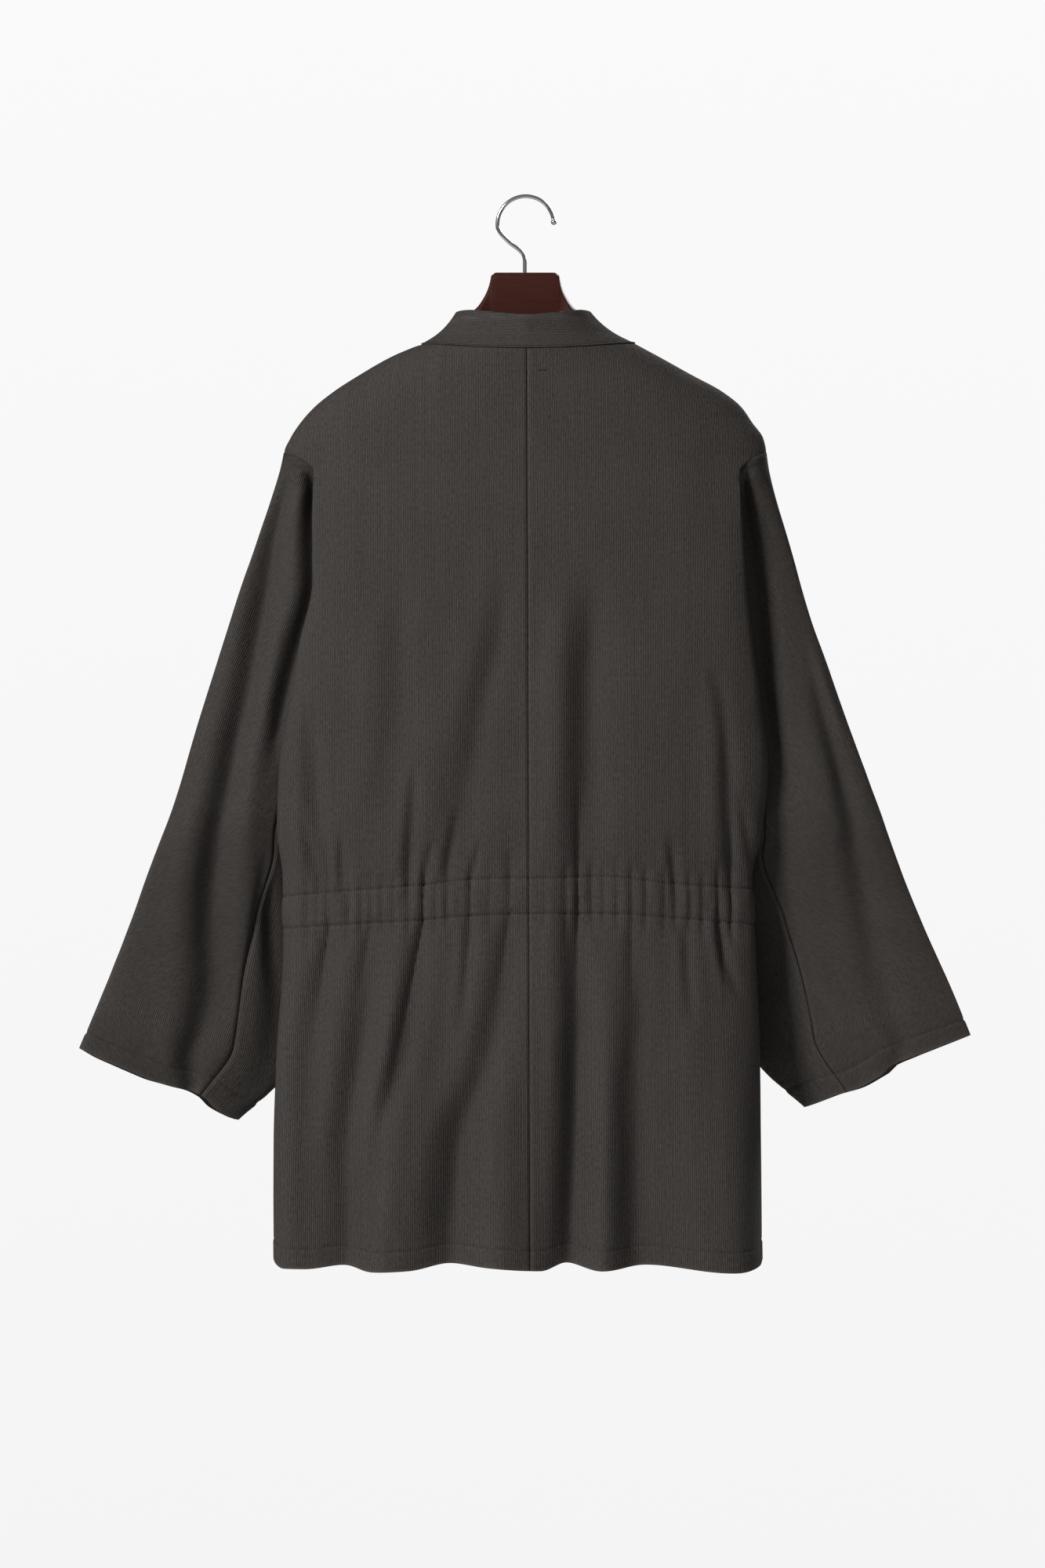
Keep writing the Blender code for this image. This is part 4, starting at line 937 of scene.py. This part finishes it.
def sleeve_section(side, drop, u):
    """A sleeve's section: its points, their shares of the way outwards, and how far back they lie."""
    cuff = CUFFS[side]
    outer_x = sleeve_outer[side](drop)
    thick = sleeve_thick(drop)
    tilt = ease(drop, TILT_START, cuff.outer_drop)
    if drop <= UNDERARM:
        inner_x = body_width[side](drop) - turn_inset(drop) + 2.5 * ease(drop, 440.0, 500.0)
        edge = max(turn_edge(drop) - LAP * ease(drop, 236.0, 252.0), 0.3)
        thick = max(thick, edge)
        first = math.pi - math.asin(min(edge / thick, 1.0))
        last = -first
        half = (outer_x - inner_x) / (1 - math.cos(first))
        centre = np.array([outer_x - half, 0.0])
        way = np.array([half, 0.0])
        lower = 0.0
    else:
        inner_end = SLEEVE_INNER[-1].drop
        inner_drop = drop + tilt * (cuff.inner_drop - cuff.outer_drop)
        inner_drop = inner_drop * (1 - tilt) + tilt * (inner_drop + inner_end - cuff.inner_drop)
        inner = np.array([sleeve_inner[side](inner_drop), sleeve_forward(inner_drop)])
        outer = np.array([outer_x, 4.0 * tilt])
        centre = (inner + outer) / 2
        way = (outer - inner) / 2
        seam_angle = math.acos(np.clip(2 * seam_share(drop) - 1, -1.0, 1.0))
        slit = min(GAP / 2 / max(np.hypot(*way), 1.0) * 4, 0.02)
        first = seam_angle - slit
        last = seam_angle - 2 * math.pi + slit
        lower = tilt * (cuff.inner_drop - cuff.outer_drop)
    angle = first + (last - first) * u
    normal = np.array([way[1], -way[0]]) / max(np.hypot(*way), 1e-6)
    shape = np.sign(np.sin(angle)) * np.abs(np.sin(angle)) ** 1.15
    share = (1 + np.cos(angle)) / 2
    outwards = (np.cos(angle) - math.cos(first)) / (1 - math.cos(first)) if drop <= UNDERARM else share
    x = centre[0] + way[0] * np.cos(angle) + normal[0] * thick * shape
    y = centre[1] + way[1] * np.cos(angle) + normal[1] * thick * shape
    z = -drop - lower * (1 - share)
    return np.stack([side * x, y, z], axis=1), outwards, np.sin(angle)


def sleeve_creases(side, share, back, drop):
    """The folds along a sleeve. The ones that show are repeated more softly on its hidden side."""
    relief = np.zeros_like(share)
    shown = ease(back, 0.0, 0.35) + 0.4 * ease(-back, 0.0, 0.35)
    for crease in SLEEVE_CREASES[side]:
        out = 1.25 * column(crease, "out")(drop) * (drop > crease[0].drop)
        place = column(crease, "share")(drop)
        wide = column(crease, "wide")(drop)
        relief += out * trough(share, place, wide, side)
    return relief * shown


sleeve_shares = np.concatenate([
    np.linspace(0.0, 0.012, 5, endpoint=False), np.linspace(0.012, 0.988, 124, endpoint=False),
    np.linspace(0.988, 1.0, 6),
])
sleeve_cloth = cloth_finish("ribbed_cotton_sleeve", SLEEVE_SHADED_COLOUR)
sleeves = {}
cuff_runs = []
for side, name in ((-1, "sleeve_left"), (1, "sleeve_right")):
    end = CUFFS[side].outer_drop
    drops = np.concatenate([
        spread(SLEEVE_TOP, 256.0, 1.1), spread(256.0, 498.0, 3.4), spread(498.0, 520.0, 1.6),
        spread(520.0, end - 20.0, 3.2), spread(end - 20.0, end, 1.2), [end],
    ])
    parts = [sleeve_section(side, drop, sleeve_shares) for drop in drops]
    plain = np.array([p for p, _, _ in parts])
    share = np.array([s for _, s, _ in parts])
    back = np.array([b for _, _, b in parts])
    drop = np.repeat(drops[:, None], len(sleeve_shares), axis=1)
    run = run_across(plain)
    edge_run = np.minimum(run, run[:, -1:] - run)
    relief = sleeve_creases(side, share, back, drop)
    place = run + SLEEVE_SHIFT
    relief += 0.6 * unevenness(place, drop, 26.0, 90.0, 21 + side) * ease(drop, 260.0, 330.0)
    relief += 0.22 * unevenness(place, drop, 8.0, 30.0, 24 + side) * ease(drop, 260.0, 330.0)
    relief *= 1 - bell(edge_run, 0.0, 6.0)
    on_seam = ease(drop, 520.0, 545.0)
    relief += (-0.9 * bell(edge_run, 0.0, 1.4) + 0.3 * bell(edge_run, 3.5, 2.0)) * on_seam
    row = end - CUFF_DEEP
    relief += hem_relief(place, drop, row, 6.0, 8.0, 29 + side)
    grid = plain + outward(plain, (0, -1, 0), 0.25) * relief[..., None]
    grid[..., 2] -= column(CUFF_SAG[side], "lower", "place")(share) * ease(drop, end - 60.0, end)
    way_out = outward(grid, (0, -1, 0), 0.25)
    outer, inner = two_faces(grid, way_out, drop, row)
    outer_part = np.where(share > 0.5, back, 1.0)
    fold_run = np.array([np.interp(0.0, -b, r) for b, r in zip(outer_part, run)])
    from_fold = run - fold_run[:, None]
    weave = np.stack([
        from_fold * math.cos(SLEEVE_LEAN),
        -drop / math.cos(SLEEVE_LEAN) - np.abs(from_fold) * math.sin(SLEEVE_LEAN),
    ], axis=2)
    rub = bell(drop, end, 2.0) + 0.6 * bell(share, 1.0, 0.012) + 0.4 * bell(edge_run, 2.2, 1.0) * on_seam
    sleeves[side] = sew(name + "_cloth", outer, inner, weave, sleeve_cloth, rub)
    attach(sleeves[side], "root")
    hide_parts(name)
    cuff_runs.append(row_run(outer, way_out, drops, row))
stitches("cuff_stitches", cuff_runs)

# The neckband: one long strip of the same cotton, its ribs running along it, folded double over the panels'
# neck edges and down both crossing fronts to the hem, and stitched down along its seam.
BAND_WIDTH = 31.0
BAND_HALF_GAP = 0.75
BAND_ROW = 2.6
BAND_CLEAR = 0.1
COLLAR_COLOUR = (0.038, 0.0336, 0.0306)

Stand = namedtuple("Stand", "angle inward up")
BAND_STAND = table(Stand, [
    (0.0, 10.0, 30.2), (45.0, 20.0, 33.0), (90.0, 32.0, 28.6), (140.0, 22.0, 22.0),
])
RIGHT_DRAWN = 9.0
stand_inward = column(BAND_STAND, "inward", "angle")
stand_up = column(BAND_STAND, "up", "angle")


def unit(vector):
    """A vector made one long."""
    return vector / max(np.linalg.norm(vector), 1e-9)


def front_point(side, across, drop):
    """A point of a front's plain form with the waves of its skirt."""
    lift = ease(drop, WAVES_START, HEM_DROP) * front_wave(across)
    return np.array([across, front_reach(side, across, drop) + lift, -drop])


def neck_seam(side, share):
    """A point of the back's upper edge, at a share of its way from the centre to the shoulder."""
    points, _ = section_grid(lambda drop: back_line(side, drop), [NECK_DROP], np.array([share]))
    point = points[0, 0]
    point[2] -= BACK_NECK_DIP * max(1 - (point[0] / 100.0) ** 2, 0.0)
    return point


def band_station(place):
    """A place along the neckband: its seam point, its free edge's point and the way it leaves the panel.

    The place runs from the left front's hem at -2, by the left shoulder at -1 and the centre back at 0,
    to the right shoulder at 1 and the right front's hem at 2.
    """
    side = -1 if place < 0 else 1
    if abs(place) <= 1:
        seam = neck_seam(side, abs(place))
        angle = 90.0 * abs(place)
        inward = unit(np.array([-seam[0], -seam[1] * 1.6, 0.0]))
        drawn = RIGHT_DRAWN * ease(place, 0.3, 0.9)
        free = seam + inward * (stand_inward(angle) + drawn) + np.array([0, 0, stand_up(angle)])
        return seam, free, np.array([0.0, 0.0, 1.0]), BAND_CLEAR + 0.5 * abs(place) ** 2
    drop = NECK_DROP + (HEM_DROP - NECK_DROP) * (abs(place) - 1)
    across = neck_across(side, drop)
    seam = front_point(side, across, drop)
    ahead = (neck_across(side, drop + 2) - neck_across(side, drop - 0.5)) / 2.5
    steep = math.hypot(1.0, ahead)
    free_across = across - side * BAND_WIDTH / steep
    free_drop = drop - BAND_WIDTH * abs(ahead) / steep
    lying = ease(drop, NECK_DROP, 215.0)
    flat = front_point(side, free_across, max(free_drop, NECK_DROP + 1))
    flat[2] = -free_drop
    angle = 90.0 + 50.0 * ease(drop, NECK_DROP, 175.0)
    inward = unit(np.array([-seam[0], -seam[1] * 0.4, 0.0]))
    drawn = RIGHT_DRAWN if side > 0 else 0.0
    stood = seam + inward * (stand_inward(angle) + drawn) + np.array([0, 0, stand_up(angle)])
    free = stood * (1 - lying) + flat * lying
    near = front_point(side, across - side * 2.0 / steep, max(drop - 2.0 * abs(ahead) / steep, NECK_DROP))
    leave = unit(near - seam) * lying + np.array([0.0, 0.0, 1.0]) * (1 - lying)
    return seam, free, unit(leave), BAND_CLEAR + lying * (GAP - BAND_CLEAR) + 0.5 * (1 - lying)


def band_surface(u, place):
    """The middle of the neckband: u runs from the seam to the free edge."""
    seam, free, leave, gap = band_station(place)
    wide = np.linalg.norm(free - seam)
    start = seam + leave * gap
    lying = ease(abs(place), 1.06, 1.2)
    hollow = start + (free - start) * np.array([0.62, 0.62, 0.3])
    bend = hollow * (1 - lying) + (start + leave * wide * 0.4) * lying
    t = u[:, None]
    return (1 - t) ** 2 * start + 2 * t * (1 - t) * bend + t * t * free


def fold_double(grid, way_out, half_gap):
    """A strip folded double over a grid: up its outer side, round the free edge and down its inner side."""
    over = np.gradient(grid, axis=1)[:, -1]
    over /= np.linalg.norm(over, axis=1, keepdims=True)
    layers = [grid[:, :-1] + way_out[:, :-1] * half_gap]
    for angle in np.radians([90.0, 60.0, 30.0, 0.0, -30.0, -60.0, -90.0]):
        turn = way_out[:, -1] * math.sin(angle) + over * math.cos(angle)
        layers.append((grid[:, -1] + turn * half_gap)[:, None])
    layers.append(grid[:, -2::-1] - way_out[:, -2::-1] * half_gap)
    return np.concatenate(layers, axis=1)


neck_places = np.linspace(0.0, 1.0, 40, endpoint=False)
band_drops = np.concatenate([spread(NECK_DROP, 330.0, 2.6), spread(330.0, 978.0, 4.6), [978.0]])
front_places = 1.0 + (band_drops - NECK_DROP) / (HEM_DROP - NECK_DROP)
half_places = np.concatenate([neck_places, front_places])
band_places = np.concatenate([-half_places[:0:-1], half_places])
band_shares = np.concatenate([np.linspace(0.0, 0.12, 6, endpoint=False), np.linspace(0.12, 1.0, 12)])
band = np.array([band_surface(band_shares, place) for place in band_places])
run_down = run_along(band[:, 8])
band_out = outward(band, (0, -1, 0.2))
run_down_grid = np.repeat(run_down[:, None], len(band_shares), axis=1)
across_band = band_shares[None, :] * BAND_WIDTH + 0.0 * run_down_grid
band_relief = -0.5 * bell(across_band, BAND_ROW, 0.9)
band_relief = band_relief + 0.3 * unevenness(across_band + 40.0, run_down_grid, 14.0, 26.0, 33)
band = band + band_out * (band_relief * (1 - bell(across_band, 0.0, 1.0)))[..., None]
strip = fold_double(band, band_out, BAND_HALF_GAP)
strip_run = run_across(strip)
strip_out = outward(strip, (0, -1, 0.2), 0.25)
weave = np.stack([strip_run, np.repeat(run_down[:, None], strip.shape[1], axis=1)], axis=2)
collar_cloth = cloth_finish("ribbed_cotton_band", COLLAR_COLOUR)
collar_rub = bell(strip_run, BAND_WIDTH + 1.2, 1.6)
band_face = strip + strip_out * CLOTH / 2
band_inside = strip - strip_out * CLOTH / 2
collar = sew("collar_cloth", band_face, band_inside, weave, collar_cloth, collar_rub)
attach(collar, "root")
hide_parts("collar")
band_rows = np.arange(len(band_places), dtype=float)
seam_column = np.full(len(band_rows), row_of(band_shares, BAND_ROW / BAND_WIDTH))
seam_run = (on_grid(band_face, band_rows, seam_column), on_grid(strip_out, band_rows, seam_column))
band_thread = stitches("band_stitches", [seam_run])

# The outer ties: a pair of narrow strips of the cotton, each folded to a flat tube, one on the edge of each
# front. They hang loose here, on the side away from the camera.
TIE_WIDTH = 22.0
TIE_LENGTH = 190.0
TIE_DROP = 640.0
TIE_HALF = 0.45
TIE_WALL = 0.6
TIE_ROWS = 60
BAND_THICK = 2.8
TIES = {"tie_outer_left": (-1, 96.0), "tie_outer_right": (1, 148.0)}

tie_shares = np.linspace(0.0, 1.0, 12)
tie_drops = np.linspace(TIE_DROP, TIE_DROP + TIE_LENGTH, TIE_ROWS)
for name, (side, across) in TIES.items():
    over = BAND_THICK / 2 if side < 0 else CLOTH / 2
    lift = over + GAP + 0.8
    rows = []
    for drop in tie_drops:
        hang = (drop - TIE_DROP) / TIE_LENGTH
        free = 0.8 + 3.5 * ease(drop, TIE_DROP, TIE_DROP + TIE_LENGTH)
        sway = 1.5 * math.sin(2.4 * hang) * hang
        row = np.array([front_point(side, across + TIE_WIDTH * (k - 0.5), drop) for k in tie_shares])
        row[:, 0] += sway
        row[:, 1] += lift + free + 0.5 * hang * np.sin(5.0 * tie_shares + 3.0 * hang)
        rows.append(row)
    flat = np.array(rows)
    tube = fold_double(flat, outward(flat, (0, 1, 0)), TIE_HALF)
    tube_out = outward(tube, (0, 1, 0), 0.2)
    tube_run = run_across(tube)
    weave = np.stack([tube_run, np.repeat(-tie_drops[:, None], tube.shape[1], axis=1)], axis=2)
    rub = bell(tube_run, TIE_WIDTH + 0.7, 1.2)
    face = tube + tube_out * TIE_WALL / 2
    tie = sew(name + "_cloth", face, tube - tube_out * TIE_WALL / 2, weave, front_cloth, rub)
    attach(tie, "root")
    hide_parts(name)
    box_runs = []
    for low in (4.0, 14.0):
        columns = np.linspace(1.5, 9.5, 30)
        rows_at = np.full(30, low / TIE_LENGTH * (TIE_ROWS - 1))
        box_runs.append((on_grid(face, rows_at, columns), on_grid(tube_out, rows_at, columns)))
    tie_thread = stitches(name + "_stitches", box_runs)

# The hanger: beech turned and shaped wide at the shoulders, stained a dark red-brown and lacquered. Its head
# stands up out of the neck and is bored for the hook's stem.
WOOD_TOP = 68.4
WOOD_DARK = (0.021, 0.0048, 0.0034, 1.0)
WOOD_LIGHT = (0.054, 0.0128, 0.009, 1.0)
RING_POINTS = 48

Arm = namedtuple("Arm", "across top")
HANGER_HEAD = table(Arm, [
    (31.3, 71.0), (32.4, 77.0), (34.5, 84.0), (39.0, 93.0), (44.0, 100.0), (60.0, 113.0),
    (78.0, 127.0), (96.0, 138.5),
])
HANGER_TIP = {-1: 188.0, 1: 193.0}
head_top = column(HANGER_HEAD, "top", "across")
wood_thin = course([0, 31, 44, 78, 120, 180, 196], [11, 11, 13.5, 16, 20, 20, 13])
wood_tall = course([0, 31, 60, 100, 170, 190, 196], [72, 70, 42, 30, 26, 20, 12])


def arm_top(side, across, half_depth):
    """The drop of the hanger's upper surface, just under the cloth past the neck."""
    drops = np.linspace(NECK_DROP, ARM_TOP, 120)
    widths = body_width[side](drops)
    reach = across / math.sqrt(max(1 - (half_depth / 50.0) ** 2, 0.05))
    under_cloth = float(np.interp(reach, widths, drops)) + 1.8 + 2.2 * float(ease(across, 160.0, 190.0))
    near_head = float(head_top(across)) + 0.012 * half_depth**2
    blend = float(ease(across, 92.0, 102.0))
    return near_head * (1 - blend) + under_cloth * blend


def wood_ring(side, across):
    """A ring of points round the hanger at a place along it."""
    head = across < HANGER_HEAD[0].across
    thin = float(wood_thin(across))
    tall = float(wood_tall(across))
    corner = 2.6 * float(ease(across, 27.0, HANGER_HEAD[0].across))
    ring = []
    for k in range(RING_POINTS):
        angle = 2 * math.pi * k / RING_POINTS
        y = thin * math.copysign(abs(math.sin(angle)) ** 0.8, math.sin(angle))
        if head:
            top = WOOD_TOP + 0.006 * y * y + corner
            lower = WOOD_TOP + tall
        else:
            top = arm_top(side, across, abs(y))
            lower = arm_top(side, across, 0.0) + tall
        height = math.cos(angle)
        drop = top + (1 - height) * 5.0 if height >= -0.01 else lower - 6.0 * (1 + height)
        ring.append(Vector((side * across, y, -drop)) * MM)
    return ring


def loft(bm, rings):
    """A tube through rings of points, open at both ends. Gives back the vertices of each ring."""
    loops = [[bm.verts.new(point) for point in ring] for ring in rings]
    for one, other in zip(loops, loops[1:]):
        for k in range(len(one)):
            n = (k + 1) % len(one)
            bm.faces.new((one[k], one[n], other[n], other[k]))
    return loops


def smooth_piece(name, bm, sharp):
    """An object of a closed form, shaded smooth but for edges sharper than an angle in degrees."""
    bmesh.ops.recalc_face_normals(bm, faces=bm.faces)
    mesh = bpy.data.meshes.new(name)
    bm.to_mesh(mesh)
    bm.free()
    mesh.shade_smooth()
    mesh.set_sharp_from_angle(angle=math.radians(sharp))
    return add_object(name, mesh)


wood_bm = bmesh.new()
left_places = np.concatenate([
    np.linspace(HANGER_TIP[-1], 44.0, 60, endpoint=False), np.linspace(44.0, 30.0, 24, endpoint=False),
    np.linspace(30.0, 0.5, 14)])
right_places = np.concatenate([
    np.linspace(0.5, 30.0, 14), np.linspace(30.0, 44.0, 25)[1:], np.linspace(44.0, HANGER_TIP[1], 61)[1:]])
wood_rings = [wood_ring(-1, place) for place in left_places] + [wood_ring(1, place) for place in right_places]
wood_loops = loft(wood_bm, wood_rings)
for loop in (wood_loops[0], wood_loops[-1]):
    middle_point = sum((v.co for v in loop), Vector()) / RING_POINTS
    cap = wood_bm.verts.new(middle_point + Vector((math.copysign(2.0 * MM, middle_point.x), 0.0, 0.0)))
    for k in range(RING_POINTS):
        wood_bm.faces.new((loop[k], loop[(k + 1) % RING_POINTS], cap))
wood = smooth_piece("hanger_wood_lacquered", wood_bm, 55)

lacquer, grain_tree, wood_shader = new_material("red_brown_lacquer", 0.5)
solid = node(grain_tree, "TexCoord").outputs["Object"]
stretched = node(grain_tree, "Mapping", solid, (0, 0, 0), (0, 0, 0), (6.0, 60.0, 60.0)).outputs[0]
grain = node(grain_tree, "TexNoise", stretched, None, 6.0, 5.0, 0.6).outputs[0]
pores = node(grain_tree, "TexNoise", stretched, None, 40.0, 2.0).outputs[0]
stain = blend_colour(grain_tree, grain, WOOD_DARK, WOOD_LIGHT)
grain_tree.links.new(stain, wood_shader.inputs["Base Color"])
pore_bump = node(grain_tree, "Bump", 0.25, 0.15 * MM)
grain_tree.links.new(pores, pore_bump.inputs["Height"])
grain_tree.links.new(pore_bump.outputs[0], wood_shader.inputs["Normal"])
wood_shader.inputs["Specular IOR Level"].default_value = 0.1
wood_shader.inputs["Coat Weight"].default_value = 0.03
wood_shader.inputs["Coat Roughness"].default_value = 0.12
wood.data.materials.append(lacquer)
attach(wood, "root")
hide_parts("hanger_wood")

# The hook: one bent and plated wire with a small ball on its free end, screwed into the hanger's head.
HOOK_WIRE = 3.6
HOOK_RADIUS = 25.9
HOOK_BALL = 2.7
HOOK_START = math.radians(9.0)
HOOK_END = math.radians(188.0)
STEM_X = -0.4
STEM_DEPTH = 18.0
RING_CENTRE = (0.4, -24.1)
WIRE_POINTS = 20

route = []
for angle in np.linspace(HOOK_START, HOOK_END, 60):
    x = RING_CENTRE[0] + HOOK_RADIUS * math.cos(angle)
    z = RING_CENTRE[1] + HOOK_RADIUS * math.sin(angle)
    route.append((x, z))
easy_bend = [
    route[-1], (-21.9, -33.2), (-13.4, -41.7), (-5.6, -47.5), (-1.4, -52.6), (STEM_X, -58.0), (STEM_X, -63.0),
]
bend_run = run_along(np.array(easy_bend))
bend_x = course(bend_run, [p[0] for p in easy_bend])
bend_z = course(bend_run, [p[1] for p in easy_bend])
for place in np.linspace(0.0, bend_run[-1], 40)[1:]:
    route.append((float(bend_x(place)), float(bend_z(place))))
route.append((STEM_X, -WOOD_TOP - STEM_DEPTH + 1.0))

wire_rings = []
first = Vector((route[0][0], 0.0, route[0][1]))
back_way = Vector((math.sin(HOOK_START), 0.0, -math.cos(HOOK_START)))
for share in (-0.98, -0.9, -0.75, -0.5, -0.2, 0.1, 0.4, 0.66):
    ball_centre = first + back_way * (2.0 - HOOK_BALL * share)
    wire_rings.append((ball_centre, HOOK_BALL * math.sqrt(1 - share * share), -back_way))
for i, (x, z) in enumerate(route):
    before = route[max(i - 1, 0)]
    after = route[min(i + 1, len(route) - 1)]
    way = Vector((after[0] - before[0], 0.0, after[1] - before[1])).normalized()
    wire_rings.append((Vector((x, 0.0, z)), HOOK_WIRE / 2, way))
across_wire = Vector((0.0, 1.0, 0.0))
wire_points = []
for centre, radius, way in wire_rings:
    beside = way.cross(across_wire).normalized()
    ring = []
    for k in range(WIRE_POINTS):
        angle = 2 * math.pi * k / WIRE_POINTS
        ring.append((centre + (across_wire * math.cos(angle) + beside * math.sin(angle)) * radius) * MM)
    wire_points.append(ring)
hook_bm = bmesh.new()
wire_loops = loft(hook_bm, wire_points)
hook_bm.faces.new(wire_loops[0])
hook_bm.faces.new(wire_loops[-1])
hook = smooth_piece("hanger_hook_plated", hook_bm, 50)

plating, plate_tree, plate_shader = new_material("bright_plating", 0.16)
rubbed = node(plate_tree, "TexNoise", None, None, 400.0, 3.0).outputs[0]
plate_tone = blend_colour(plate_tree, rubbed, (0.5, 0.49, 0.48, 1.0), (0.66, 0.65, 0.64, 1.0))
plate_tree.links.new(plate_tone, plate_shader.inputs["Base Color"])
plate_shader.inputs["Metallic"].default_value = 1.0
hook.data.materials.append(plating)
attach(hook, "root")
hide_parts("hanger_hook")
